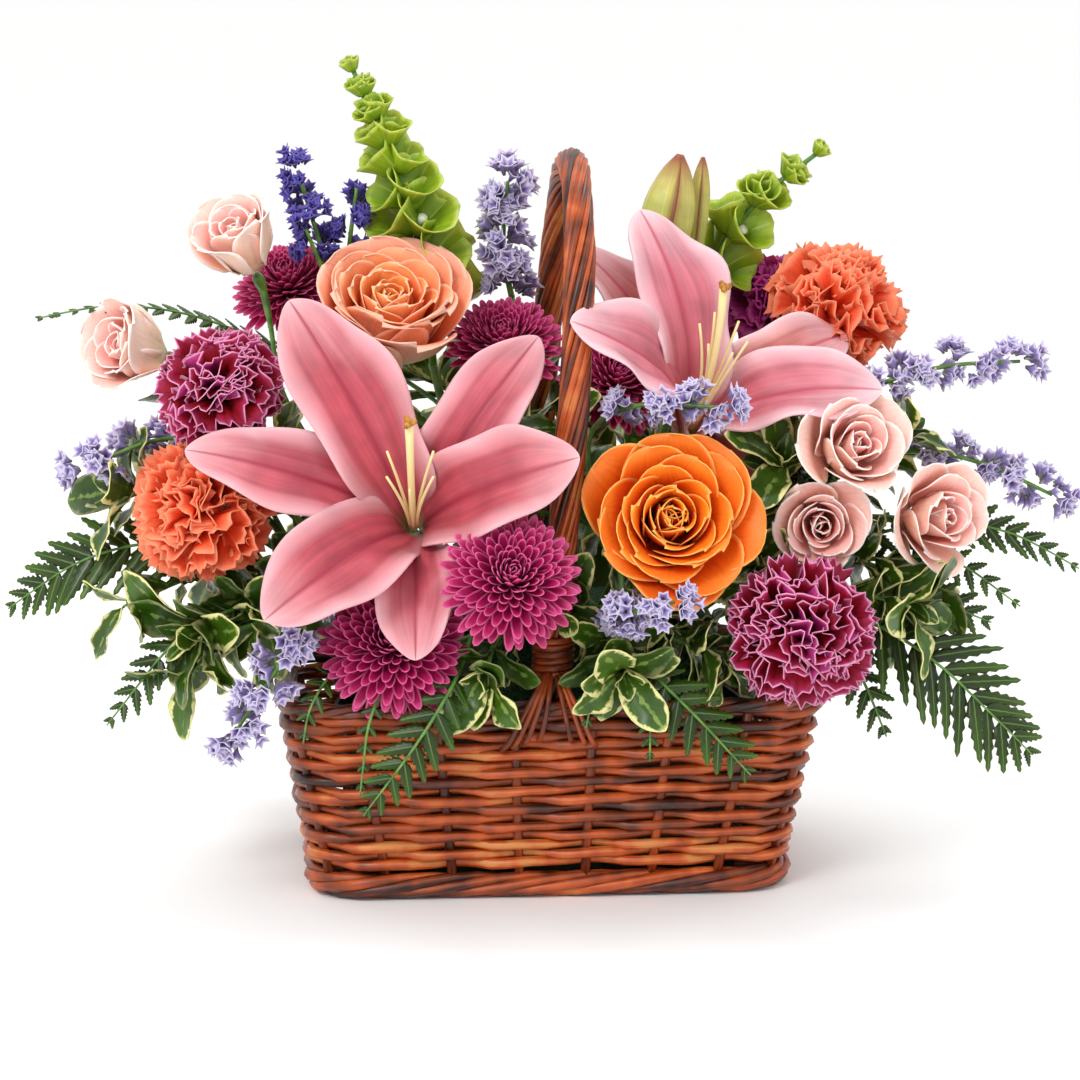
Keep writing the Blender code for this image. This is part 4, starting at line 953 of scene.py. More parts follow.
# Moulded polypropylene tray and open-celled phenolic foam: both keep the shapes of their CAD nodes.
TRAY_PLASTIC = Skin("moulded_green_plastic", "#16241a", "#1f3224", 3, 0.02, 0.42)
WET_FOAM = Skin("wet_floral_foam", "#16331c", "#2c5a33", 1.2, 0.5, 0.9, cells=True)


def dress_filling() -> None:
    """Gives the tray and the foam, whose CAD shapes are right, their finishes."""
    for node, finish in (("plastic_liner", TRAY_PLASTIC), ("floral_foam", WET_FOAM)):
        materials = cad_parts[node].data.materials
        materials.clear()
        materials.append(finish.material())
        log.info("%s: %s", node, finish.name)


# -------- petals
@dataclass(frozen=True)
class Petal:
    """A petal or leaf: its own length and width, and how it leaves the axis that it grows round.

    Attributes:
        length: Length along its mid line.
        width: Full width.
        bend: Lean away from the axis in degrees, at even shares of the length.
        root: Distance from the axis and height of its root.
        root_width: Width of the root.
        belly: Places the widest part: above 1 nearer to the tip.
        fullness: Below 1 rounds the outline, above 1 points it.
        cup: Radius of the cross-section at the root and at the tip.
        skew: Lift of one edge over the other.
        wave: Height of the waves along the edges.
        waves: Number of those waves.
        groove: Depth of the channel along the mid line.
        roll: How far the edges roll back.
        sweep: How far the tip swings to one side.
    """

    length: float
    width: float
    bend: tuple[float, ...]
    root: tuple[float, float] = (0, 0)
    root_width: float = 3.0
    belly: float = 1.0
    fullness: float = 0.6
    cup: tuple[float, float] = (20, 40)
    skew: float = 0.0
    wave: float = 0.0
    waves: float = 2.0
    groove: float = 0.0
    roll: float = 0.0
    sweep: float = 0.0

    def blended(self, other: "Petal", share: float) -> "Petal":
        """The petal part of the way from this one to another.

        Args:
            other: A petal with as many stations in its bend.
            share: 0 for this petal and 1 for the other.

        Returns:
            The petal between them.
        """

        def between(a: object, b: object) -> object:
            """The value, or the tuple of values, between two."""
            if isinstance(a, tuple):
                return tuple(between(x, y) for x, y in zip(a, b))
            return a + (b - a) * share

        pairs = {f.name: (getattr(self, f.name), getattr(other, f.name)) for f in fields(self)}
        return Petal(**{name: between(a, b) for name, (a, b) in pairs.items()})


CENTRE_STEPS = 24


def petal_surface(petal: Petal, place: Matrix, azimuth: float) -> Surface:
    """Surface of one petal.

    Args:
        petal: Its form.
        place: Frame of the bloom.
        azimuth: Turn about the bloom's axis, in degrees.

    Returns:
        The point at (across, along).
    """
    radius, height = petal.root
    line = []
    for step in range(CENTRE_STEPS + 1):
        share = step / CENTRE_STEPS * (len(petal.bend) - 1)
        k = min(int(share), len(petal.bend) - 2)
        lean = radians(petal.bend[k] + (petal.bend[k + 1] - petal.bend[k]) * (share - k))
        line.append((radius, height, lean))
        radius += petal.length / CENTRE_STEPS * sin(lean)
        height += petal.length / CENTRE_STEPS * cos(lean)
    turn = place @ Matrix.Rotation(radians(azimuth), 4, "Z")

    def surface(across: float, along: float) -> Vector:
        """Point of the petal."""
        along = sin(along * pi / 2)
        share = along * CENTRE_STEPS
        k = min(int(share), CENTRE_STEPS - 1)
        radius, height, lean = (a + (b - a) * (share - k) for a, b in zip(line[k], line[k + 1]))
        full = sin(pi * min(along, 1) ** petal.belly)
        half = petal.width / 2 * max(full, 0) ** petal.fullness
        half += petal.root_width / 2 * (1 - along)
        half *= 1 + 0.018 * petal.wave * sin(2 * pi * petal.waves * along + 2 * across + azimuth)
        curve = petal.cup[0] + (petal.cup[1] - petal.cup[0]) * along
        side = curve * sin(across * half / curve) + petal.sweep * sin(azimuth) * along**2
        lift = curve * (1 - cos(across * half / curve))
        lift -= petal.skew * across * min(1, 3 * along)
        ripple = sin(2 * pi * petal.waves * along + 1.7 * across)
        lift += petal.wave * abs(across) ** 1.5 * ripple * min(1, 4 * (1 - along))
        lift -= petal.groove * exp(-((across * half / 2.6) ** 2)) * full
        lift -= petal.roll * abs(across) ** 4 * full
        return turn @ Vector((radius - lift * cos(lean), side, height + lift * sin(lean)))

    return surface


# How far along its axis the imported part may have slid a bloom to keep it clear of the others.
SLIDES = (0, -1.5, 1.5, -3, 3, -4.5, 4.5, -6, 6, -8, -10)


@dataclass(frozen=True)
class Head:
    """Where a bloom's visible middle is, and which way it faces.

    Attributes:
        centre: The visible middle.
        axis: The way that it faces.
        roll: Turn about that axis in degrees.
        size: Scale of the bloom.
    """

    centre: Point
    axis: Point
    roll: float = 0.0
    size: float = 1.0

    def place(self, middle: float) -> Matrix:
        """The bloom's own frame, its origin at the base.

        Args:
            middle: Height of the visible middle above the base.

        Returns:
            The frame, scaled by the size.
        """
        axis = Vector(self.axis).normalized()
        base = Vector(self.centre) - axis * middle * self.size
        return frame_at(base, axis, self.roll) @ Matrix.Scale(self.size, 4)

    def seated(self, node: str, middle: float, ring: float) -> "Head":
        """This head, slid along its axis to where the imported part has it.

        Args:
            node: The bloom's CAD node.
            middle: Height of its visible middle above its base.
            ring: Radius of the base.

        Returns:
            The head in its final place.
        """
        cad = CadNode(node)
        axis = Vector(self.axis).normalized()
        for slide in SLIDES:
            moved = replace(self, centre=tuple(Vector(self.centre) + axis * slide))
            if cad.has_ring(moved.place(middle).translation, ring * self.size):
                log.info("%s: slid %.1f mm", node, slide)
                return moved
        raise ValueError(f"{node} isn't on its axis")


# -------- lilies
# Oriental lily petal: waxy pink, deeper along the channel, with a pale frilled edge.
LILY_DEEP = Tissue(
    "lily_petal_deep_pink",
    heart=((0, "#a9ad58"), (0.08, "#bd5562"), (0.4, "#b94a58"), (0.75, "#c6656e"), (1, "#d68e94")),
    guard=((0, "#a9ad58"), (0.08, "#ba5460"), (0.4, "#bc505e"), (0.75, "#ca6c76"), (1, "#da969c")),
    margin="#f2c2c8", rim=(0.5, 0.75), rib="#9c2840", rib_band=(0.12, 0.9), streaks=16,
    streak_depth=0.24, mottle_mm=16, mottle_depth=0.22, rough=0.42,
)
LILY_SOFT = replace(
    LILY_DEEP, name="lily_petal_soft_pink",
    heart=((0, "#c4b062"), (0.08, "#c4646e"), (0.4, "#c46a78"), (0.75, "#d08a94"), (1, "#e2acb4")),
    guard=((0, "#c69c58"), (0.08, "#c8705e"), (0.4, "#cc746c"), (0.75, "#d28a90"), (1, "#e2aab0")),
    margin="#f6d4da", rib="#b44458",
)
# Fleshy yellow pistil and filaments, glossy, with a brown felted stigma.
PISTIL = Skin("lily_pistil", "#d99c2c", "#f0cf74", 2, 0.05, 0.4, 0.2)
STIGMA = Skin("lily_stigma", "#8a5418", "#c98a2c", 1.5, 0.2, 0.55)
# Closed bud: satin green skin with darker seams, flushed towards the tip.
LILY_BUD_SKIN = Tissue(
    "lily_bud_skin", heart=((0, "#7e9030"), (0.35, "#b4c050"), (0.75, "#d6d270"), (1, "#b8a458")),
    guard=((0, "#7e8a34"), (0.35, "#a8a850"), (0.75, "#c6b468"), (1, "#a07c48")), margin="#8e4a30",
    rim=(0.42, 1.1), streaks=26, streak_depth=0.2, rough=0.42,
)


@dataclass
class Lily:
    """Open lily: three broad inner tepals over three narrow outer ones, round a long pistil.

    Attributes:
        name: Start of its nodes' names.
        head: Its place.
        tissue: Finish of its tepals.
        tepals: Azimuth in degrees, share of the full length, extra lean at the tip, and whether
            it is an inner tepal, for each one.
        middle: Height of its visible middle above its base.
        inner: Form of an inner tepal.
        outer: Form of an outer tepal.
    """

    name: str
    head: Head
    tissue: Tissue
    tepals: tuple[tuple[float, float, float, bool], ...]
    middle: float = 42.0
    inner: Petal = Petal(
        length=108, width=44, bend=(14, 34, 62, 86, 104), root=(2.4, 2), root_width=5, belly=1.25,
        fullness=0.62, cup=(16, 46), wave=3.4, waves=2.4, groove=2.2, roll=3, sweep=4,
    )
    outer: Petal = replace(
        inner, width=34, root=(3.4, 1), bend=(20, 40, 68, 90, 108), groove=1.4, roll=1.5
    )

    def build_tepals(self) -> None:
        """Builds the tepals and the small cone that they grow from."""
        place = self.head.place(self.middle)
        bloom = Growth()
        for azimuth, share, extra, is_inner in self.tepals:
            form = self.inner if is_inner else self.outer
            last = len(form.bend) - 1
            bend = tuple(angle + extra * (k / last) for k, angle in enumerate(form.bend))
            form = replace(form, length=form.length * share, bend=bend)
            tone = 0.0 if is_inner else 1.0
            bloom.sheet(petal_surface(form, place, azimuth), 24, 40, tone)
        node = f"{self.name}_tepals"
        bloom.piece(f"{self.name}_petals", [self.tissue], "lily_petal", node, 0.9)

    def build_stamens(self) -> None:
        """Builds the pistil, its three-lobed stigma and the bare filaments."""
        place = self.head.place(self.middle)
        draw = Random(SEED + 5)
        green = Growth()
        tips = Growth()
        line = [place @ Vector((0, 0.485 * k * k, 9.35 + 9 * k)) for k in range(8)]
        green.rod(line, lambda share: 1.9 - 0.5 * min(share * 3, 1) + 0.5 * share**4, 8)
        top = line[-1]
        for lobe in range(3):
            turn = 2 * pi * lobe / 3
            way = place.to_3x3() @ polar(1, turn, 0.6)
            tips.rod([top - way * 0.6, top + way * 1.4, top + way * 2.8], lambda s: 2 - s, 7)
        for k in range(6):
            turn = radians(60 * k + 30)
            line = []
            for step in range(9):
                t = step / 4
                spread = 1.6 + 2.3 * t * t
                rise = 2.64 * t * t
                out = (spread * cos(turn), spread * sin(turn) + rise, 9.4 + 25 * t)
                line.append(place @ Vector(out))
            green.rod(line, lambda share: 0.85 - 0.3 * share, 7, draw.uniform(0, 1))
        green.piece(f"{self.name}_filaments", [PISTIL], "lily_pistil", f"{self.name}_stamens")
        tips.piece(f"{self.name}_stigma", [STIGMA], "lily_pistil", f"{self.name}_stamens")

    def build(self) -> None:
        """Builds the flower and places its pieces."""
        self.build_tepals()
        self.build_stamens()


@dataclass
class LilyBud:
    """Closed lily bud: three tepals folded edge to edge into a ridged spindle.

    Attributes:
        name: The bud's CAD node.
        base: Where it leaves its stem.
        tip: Its tip.
        radius: Radius at its widest.
        profile: Share of the length and share of that radius, from the base to the tip.
    """

    name: str
    base: Point
    tip: Point
    radius: float
    profile: tuple[tuple[float, float], ...] = (
        (0, 0.30), (0.12, 0.62), (0.40, 0.95), (0.68, 1), (0.88, 0.62), (1, 0.12)
    )

    def build(self) -> None:
        """Builds the bud and places it."""
        axis = Vector(self.tip) - Vector(self.base)
        place = frame_at(self.base, axis)
        rows = 22
        outline = smooth_route([(share, full, 0) for share, full in self.profile], rows)
        bud = Growth()
        for tepal in range(3):
            middle = 2 * pi * tepal / 3

            def surface(across: float, along: float, middle: float = middle) -> Vector:
                """Point of one folded tepal."""
                share, full, _ = outline[round(along * rows)]
                turn = middle + across * radians(66)
                ridge = 1.0 - 0.13 * (1 - cos(3 * across * radians(60))) / 2
                ridge += 0.035 * cos(across * 9) + (0.05 if abs(across) > 0.9 else 0)
                radius = self.radius * full * ridge
                return place @ polar(radius, turn, share * axis.length)

            bud.sheet(surface, 14, rows, 0.35 * tepal)
        bud.piece(self.name + "_skin", [LILY_BUD_SKIN], "lily_bud", self.name, 0.5)


# -------- roses
ROSE_HEART = Petal(26, 14, (10, -3, -9, -12), (1.4, 9), 3, 1.1, 0.44, (3.4, 4.2))
ROSE_FORMS = (
    ROSE_HEART, Petal(30, 22, (16, 2, -4, 4), (3.6, 9), 3, 1.1, 0.4, (7, 8), 1.2),
    Petal(35, 28, (44, 12, 8, 30), (5, 7), 3, 1.2, 0.4, (13, 18), 1.4, 0.5),
    Petal(40, 34, (64, 28, 20, 66), (5.6, 5), 3, 1.25, 0.4, (20, 30), 1.6, 0.8),
    Petal(44, 46, (82, 52, 38, 104), (6, 3), 3, 1.3, 0.4, (28, 46), 1.8, 1),
)

# Rose petals, grown: matt velvet that glows at the heart, paler on the outside, light at the lip.
PEACH_UPPER = Tissue(
    "rose_petal_peach_inside",
    heart=((0, "#e24a06"), (0.5, "#fb7a14"), (0.85, "#ffa02c"), (1, "#ffba54")),
    guard=((0, "#ea5814"), (0.45, "#fb8e5c"), (0.8, "#ffad94"), (1, "#ffc4b2")), margin="#ffd2bf",
    rim=(0.14, 0.5), streaks=20, streak_depth=0.12, mottle_depth=0.08,
)
PEACH_REVERSE = replace(
    PEACH_UPPER, name="rose_petal_peach_outside",
    heart=((0, "#f98a2c"), (0.6, "#fd9c3c"), (1, "#ffc07c")),
    guard=((0, "#f3dca4"), (0.3, "#f8c49c"), (0.7, "#fbb79c"), (1, "#fdcdbb")),
)
ORANGE_UPPER = Tissue(
    "rose_petal_orange_inside",
    heart=((0, "#e04402"), (0.5, "#fb7206"), (0.85, "#ff960e"), (1, "#ffae2a")),
    guard=((0, "#e24a06"), (0.45, "#f96a10"), (0.8, "#ff8028"), (1, "#ff984a")), margin="#ffc668",
    rim=(0.1, 0.7), streaks=20, streak_depth=0.12, mottle_depth=0.08,
)
ORANGE_REVERSE = replace(
    ORANGE_UPPER, name="rose_petal_orange_outside",
    heart=((0, "#ea5806"), (0.6, "#f87a12"), (1, "#ff982c")),
    guard=((0, "#eea254"), (0.4, "#f58434"), (0.8, "#f98440"), (1, "#fc9e5c")),
)
BLUSH_UPPER = Tissue(
    "spray_rose_petal_inside", heart=((0, "#f67e80"), (0.6, "#ffa4a0"), (1, "#ffc8c0")),
    guard=((0, "#ffb09a"), (0.5, "#ffc8bc"), (1, "#ffded4")), margin="#fff6ee", rim=(0.2, 0.85),
    streaks=16, streak_depth=0.1, mottle_depth=0.06,
)
BLUSH_REVERSE = replace(
    BLUSH_UPPER, name="spray_rose_petal_outside",
    heart=((0, "#ffb2a0"), (0.6, "#ffc4b6"), (1, "#ffdcd0")),
    guard=((0, "#f2e4b4"), (0.35, "#ffdac2"), (1, "#ffe8da")),
)


@dataclass
class Bloom:
    """A flower whose petals grow in one spiral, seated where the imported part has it.

    Attributes:
        name: Its CAD node.
        head: Its place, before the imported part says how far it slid.
        finishes: Finishes of the petals' outside and inside, or the one that both have.
        slot: The record's material slot.
        seed: Seed of its uneven petals.
        petals: Number of petals.
        middle: Height of the visible middle above the base.
        ring: Radius of the base of the CAD node.
        thickness: Thickness of a petal.
    """

    name: str
    head: Head
    finishes: tuple[Tissue, ...]
    slot: str
    seed: int = 0
    petals: int = 38
    middle: float = 24.0
    ring: float = 3.6
    thickness: float = 0.45

    def grow(self, bloom: Growth, place: Matrix, draw: Random) -> None:
        """Adds the petals.

        Args:
            bloom: The mesh that they are added to.
            place: The bloom's frame.
            draw: Source of their unevenness.
        """
        raise NotImplementedError

    def build(self) -> None:
        """Builds the flower and places it."""
        head = self.head.seated(self.name, self.middle, self.ring)
        bloom = Growth()
        self.grow(bloom, head.place(self.middle), Random(SEED + self.seed))
        bloom.piece(f"{self.name}_petals", self.finishes, self.slot, self.name, self.thickness)


@dataclass
class Rose(Bloom):
    """Rose: cupped petals that overlap from a tight heart to a rolled-back guard.

    Attributes:
        shut: How far the outer petals fold back towards the heart, from 0 to 1.
        scale: Scale of the petal forms.
        detail: Faces across and along a petal.
    """

    shut: float = 0.0
    scale: float = 1.0
    detail: tuple[int, int] = (12, 12)

    def form(self, share: float) -> Petal:
        """Form of a petal.

        Args:
            share: 0 at the heart and 1 at the outermost.

        Returns:
            The petal.
        """
        position = share * (len(ROSE_FORMS) - 1)
        k = min(int(position), len(ROSE_FORMS) - 2)
        petal = ROSE_FORMS[k].blended(ROSE_FORMS[k + 1], position - k)
        closed = 1 - self.shut * max(share - 0.25, 0) / 0.75
        return replace(petal, bend=tuple(angle * closed for angle in petal.bend))

    def grow(self, bloom: Growth, place: Matrix, draw: Random) -> None:
        """Adds the petals, as Bloom.grow says."""
        place = place @ Matrix.Scale(self.scale, 4)
        for k in range(self.petals):
            share = k / (self.petals - 1)
            petal = self.form(share**0.85)
            lean = draw.uniform(-7, 7) * share**0.5
            petal = replace(
                petal, bend=tuple(angle + lean for angle in petal.bend),
                wave=petal.wave * draw.uniform(0.6, 1.5), waves=draw.uniform(0.8, 1.8),
                skew=petal.skew * draw.uniform(0.6, 1.4),
            )
            azimuth = GOLDEN_DEGREES * k + draw.uniform(-16, 16)
            bloom.sheet(petal_surface(petal, place, azimuth), *self.detail, share)


@dataclass
class SprayRose(Rose):
    """Small rose of a branched stem, its petals fewer and rounder."""

    finishes: tuple[Tissue, Tissue] = (BLUSH_REVERSE, BLUSH_UPPER)
    slot: str = "blush_petal"
    petals: int = 18
    scale: float = 0.74
    middle: float = 17.0
    ring: float = 3.4
    detail: tuple[int, int] = (10, 10)


# -------- carnations and chrysanthemums
# Carnation petals, grown: thin, dull and finely veined, so that the frill's folds shade each other.
CORAL_UPPER = Tissue(
    "carnation_petal_coral", heart=((0, "#cf2c12"), (0.6, "#f04a22"), (1, "#fb7248")),
    guard=((0, "#d63416"), (0.6, "#f4552c"), (1, "#fc7f56")), margin="#fda07a", rim=(0.1, 0.6),
    streaks=22, streak_depth=0.2,
)
MAROON_UPPER = Tissue(
    "carnation_petal_maroon",
    heart=((0, "#2c020c"), (0.45, "#5a0412"), (0.75, "#92061a"), (0.94, "#98103c"), (1, "#ac2e74")),
    guard=((0, "#2c020c"), (0.4, "#820614"), (0.7, "#c00e1c"), (0.93, "#9a1040"), (1, "#a82c74")),
    margin="#e698bc", rim=(0.034, 1), ragged=0.012, rough=0.66, streaks=22, streak_depth=0.3,
)
MAROON_REVERSE = replace(
    MAROON_UPPER, name="carnation_petal_maroon_reverse",
    heart=((0, "#4a0820"), (0.6, "#86104a"), (1, "#b02c7c")), guard=(),
)
MAGENTA_UPPER = Tissue(
    "carnation_petal_magenta", heart=((0, "#4a0834"), (0.6, "#86145e"), (1, "#a92a7c")),
    margin="#b8408c", rim=(0.1, 0.4), streaks=22,
)


@dataclass
class Carnation(Bloom):
    """Carnation: a pompon of fan-shaped petals with frilled and toothed edges."""

    petals: int = 44
    middle: float = 18.0
    ring: float = 3.0
    thickness: float = 0.4

    @staticmethod
    def petal(share: float, place: Matrix, draw: Random) -> Surface:
        """Surface of one petal.

        Args:
            share: 0 at the heart and 1 at the outermost.
            place: Frame of the petal's turn about the bloom.
            draw: Source of its uneven frill.

        Returns:
            The point at (across, along).
        """
        lean = radians(-14 + 112 * share**0.75 + draw.uniform(-9, 9) * (1.1 - share))
        length = (24 + 5 * sin(pi * share)) * draw.uniform(0.88, 1.04)
        spread = radians(draw.uniform(34, 52))
        phase = draw.uniform(0, 6.28)
        folds = draw.uniform(1.1, 2.2)
        frill = draw.uniform(3, 5.4)
        root = 5.0 * share**0.6 + draw.uniform(-1.2, 1.2)
        height = 4.0 + 11.0 * (1 - share)

        def surface(across: float, along: float) -> Vector:
            """Point of the petal."""
            flare = along**1.7
            tooth = 1.0 + (0.055 * cos(across * 31.4) if along > 0.99 else 0)
            reach = length * along * tooth * (1 - 0.12 * across**2)
            turn = across * spread * (0.35 + 0.65 * along)
            fold = frill * flare * sin(folds * pi * across + phase)
            fold += 0.55 * frill * flare**2 * sin(2.6 * folds * pi * across + 2 * phase)
            tilt = lean + radians(16) * flare * sin(phase + 2 * across)
            out = reach * cos(turn)
            side = reach * sin(turn) * 0.92
            x = root + out * sin(tilt) - fold * cos(tilt)
            z = height + out * cos(tilt) + fold * sin(tilt)
            return place @ Vector((x, side, z))

        return surface

    def grow(self, bloom: Growth, place: Matrix, draw: Random) -> None:
        """Adds the petals and the dark core that they hide, as Bloom.grow says."""
        for k in range(self.petals):
            share = ((k + 0.5) / self.petals) ** 0.85
            turn = place @ Matrix.Rotation(GOLDEN * k + draw.uniform(-0.6, 0.6), 4, "Z")
            bloom.sheet(self.petal(share, turn, draw), 22, 7, draw.random())
        core = [place @ Vector((0, 0, height)) for height in (4, 9, 12.5)]
        bloom.rod(core, lambda share: 7.5 - 2.5 * share, 10, 0)


# Chrysanthemum petals, grown: deep magenta channels with a broad lighter edge.
MUM_FACE = Tissue(
    "chrysanthemum_petal", heart=((0, "#4a0220"), (0.5, "#8e0a48"), (1, "#bb1a66")),
    guard=((0, "#560424"), (0.45, "#a80e52"), (1, "#cc2a74")), margin="#e86ca4", rim=(0.34, 0.7),
    streaks=5, streak_depth=0.25, mottle_depth=0.1,
)


@dataclass
class Chrysanthemum(Bloom):
    """Decorative chrysanthemum: hundreds of narrow channelled petals, curled in at the heart."""

    finishes: tuple[Tissue, ...] = (MUM_FACE,)
    slot: str = "magenta_petal"
    petals: int = 190
    middle: float = 10.0
    ring: float = 3.0
    thickness: float = 0.4

    def grow(self, bloom: Growth, place: Matrix, draw: Random) -> None:
        """Adds the petals, as Bloom.grow says."""
        for k in range(self.petals):
            share = ((k + 0.5) / self.petals) ** 0.62
            lean = 4 + 96 * share**1.1 + draw.uniform(-5, 5)
            curl = 34 * (1 - share) + draw.uniform(4, 18)
            length = (8 + 18.5 * share**0.8) * draw.uniform(0.93, 1.06)
            petal = Petal(
                length=length, width=3.4 + 1.9 * share,
                bend=(lean + 8, lean + 2, lean - curl * 0.3, lean - curl),
                root=(0.8 + 4 * share, 9.5 - 6 * share), root_width=1.8, belly=1.5, fullness=0.42,
                cup=(2.2, 2.6 + 0.8 * share),
            )
            azimuth = GOLDEN_DEGREES * k + draw.uniform(-4, 4)
            bloom.sheet(petal_surface(petal, place, azimuth), 4, 6, share)


# -------- stems
# Cut green stem: smooth and faintly waxy, with soft lighter patches.
CUT_STEM = Skin("cut_flower_stem", "#3f6a24", "#6f9c44", 6, 0.15, 0.45, 0.08)


@dataclass
class CarriedStem:
    """A bloom's stem and calyx: the CAD node's own shape, rounded off.

    Attributes:
        node: The CAD node.
        swell: How far its skin is pushed out, in millimetres, before it is rounded.
    """

    node: str
    swell: float = 0.5

    def build(self) -> None:
        """Builds the stem and places it."""
        bm = bmesh.new()
        bm.from_mesh(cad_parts[self.node].data)
        bmesh.ops.remove_doubles(bm, verts=bm.verts, dist=0.01 * MM)
        bmesh.ops.join_triangles(
            bm, faces=bm.faces, angle_face_threshold=0.7, angle_shape_threshold=1.2
        )
        bm.normal_update()
        moves = {vert: vert.normal * self.swell * MM for vert in bm.verts}
        for vert, move in moves.items():
            vert.co += move
        obj = place_piece(bm, f"{self.node}_skin", [CUT_STEM], "stem", self.node)
        rounded = obj.modifiers.new("Rounded", "SUBSURF")
        rounded.levels = rounded.render_levels = 2


# -------- branched greens
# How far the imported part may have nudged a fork, or a branch's middle, to keep it clear.
NUDGE_WAYS = (
    (1, 0, 0), (-1, 0, 0), (0, 1, 0), (0, -1, 0), (0, 0, 1), (0, 0, -1), (0.7, 0.7, 0),
    (-0.7, 0.7, 0),
)
NUDGES = [Vector((0, 0, 0))] + [Vector(way) * reach for reach in (5, 10, 16) for way in NUDGE_WAYS]

# Length, width and height of the foam, and the depth of its holes.
FOAM = (146, 77, 114)
HOLE_DEPTH = 13.0
# The stems part from a hub low in the foam: its share of the way to where a stem heads, how far it
# goes at most, and its height. A stem's straight foot ends this far outside the foam.
HUB_SHARE = (0.33, 0.28)
HUB_REACH = (54, 26)
HUB_HEIGHT = 88.0
LEAVE = 5.0
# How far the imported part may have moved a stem's hub to part it from the others.
SHIFTS = [(0, 0)] + [
    (reach * cos(turn), reach * sin(turn)) for reach in (7, 13, 19, 26)
    for turn in (0, 3.14, 1.57, -1.57, 0.8, 2.4, -0.8, -2.4)
]


def stem_start(target: Sequence[float], shift: tuple[float, float]) -> tuple[Vector, Vector]:
    """Foot of a stem in the foam, and the point just outside it where the stem leaves.

    Args:
        target: The point that the stem heads for.
        shift: Move of the hub that it comes from, along X and Y.

    Returns:
        The two points.
    """
    flat = (share * to + move for share, to, move in zip(HUB_SHARE, target, shift))
    hub = Vector((*(max(-most, min(most, at)) for most, at in zip(HUB_REACH, flat)), HUB_HEIGHT))
    heading = Vector(target) - hub
    heading.z = max(heading.z, 0.22 * heading.length)
    heading.normalize()
    lows = (-FOAM[0] / 2, -FOAM[1] / 2, 0)
    highs = (FOAM[0] / 2, FOAM[1] / 2, FOAM[2])
    reach = min(
        ((high if way > 0 else low) - start) / way
        for way, start, low, high in zip(heading, hub, lows, highs) if abs(way) > 1e-6
    )
    leave = hub + heading * reach
    return leave - heading * HOLE_DEPTH, leave + heading * LEAVE


def standing(cad: CadNode, target: Sequence[float], radius: float) -> tuple[Vector, Vector]:
    """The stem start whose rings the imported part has."""
    starts = (stem_start(target, shift) for shift in SHIFTS)
    return max(starts, key=lambda ends: cad.rings(ends, radius))


@dataclass
class Sprig:
    """Branched stem that stands in the foam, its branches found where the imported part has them.

    Attributes:
        name: Its CAD node.
        radius: Radius of the stem.
        fork: Where the branches part.
        branches: Points of each branch after the fork.
        seed: Number of the sprig in the part's own table.
    """

    name: str
    radius: float
    fork: Point
    branches: tuple[tuple[Point, ...], ...]
    seed: int

    def build_stem(self, slot: str) -> tuple[list[Vector], list[list[Vector]]]:
        """Finds the trunk and the branches, and builds them as one piece.

        Args:
            slot: The record's material slot.

        Returns:
            The trunk's points, and each branch's.
        """
        cad = CadNode(self.name)
        foot, leave = standing(cad, self.fork, self.radius)
        heading = (leave - foot).normalized()

        def trunk(nudge: Vector) -> list[Vector]:
            """The trunk's points, its fork nudged."""
            fork = Vector(self.fork) + nudge
            return [foot, leave, leave.lerp(fork, 0.5) + heading * 4, fork]

        stem = trunk(max(NUDGES, key=lambda nudge: cad.rings(trunk(nudge)[2:3], self.radius)))
        start = stem[3] - (stem[3] - leave).normalized() * 1.2
        found = []
        for branch in self.branches:

            def route(sway: Vector, branch: tuple = branch) -> list[Vector]:
                """A branch's points, its middle ones swayed."""
                between = [Vector(point) + sway for point in branch[:-1]]
                return smooth_route((start, *between, branch[-1]), len(branch) + 1)

            best = max(NUDGES, key=lambda sway: cad.rings(route(sway)[1:-1], self.radius))
            found.append(route(best))
        log.info("%s: %d rings found", self.name, cad.rings([*stem, *sum(found, [])], self.radius))
        wood = Growth()
        wood.rod([stem[0], *smooth_route(stem[1:], 12)], self.radius, 8)
        for branch in found:
            fine = smooth_route(branch, 20)
            wood.rod(fine, lambda share: self.radius * (1 - 0.45 * share), 7)
        wood.piece(f"{self.name}_stalk", [CUT_STEM], slot, self.name)
        return stem, found


# Bell calyces, grown: thin yellow-green cups that light passes through, netted with pale veins.
BELL_TISSUE = Tissue(
    "bells_of_ireland_calyx",
    heart=((0, "#5c7c0c"), (0.4, "#7a9a14"), (0.8, "#94b020"), (1, "#a8be34")),
    guard=((0, "#4c6c08"), (0.4, "#688c10"), (0.8, "#84a41c"), (1, "#9cb830")), margin="#c2d062",
    rim=(0.12, 0.5), rib="#6f9430", rib_band=(0.3, 0.55), streaks=30, streak_depth=0.2, rough=0.4,
    glow=0.22, vein_relief_mm=0.3,
)
BELL_FLORET = Skin("bells_of_ireland_floret", "#e7ecc9", "#f7f6e6", 1.5, 0.05, 0.5, 0.2)


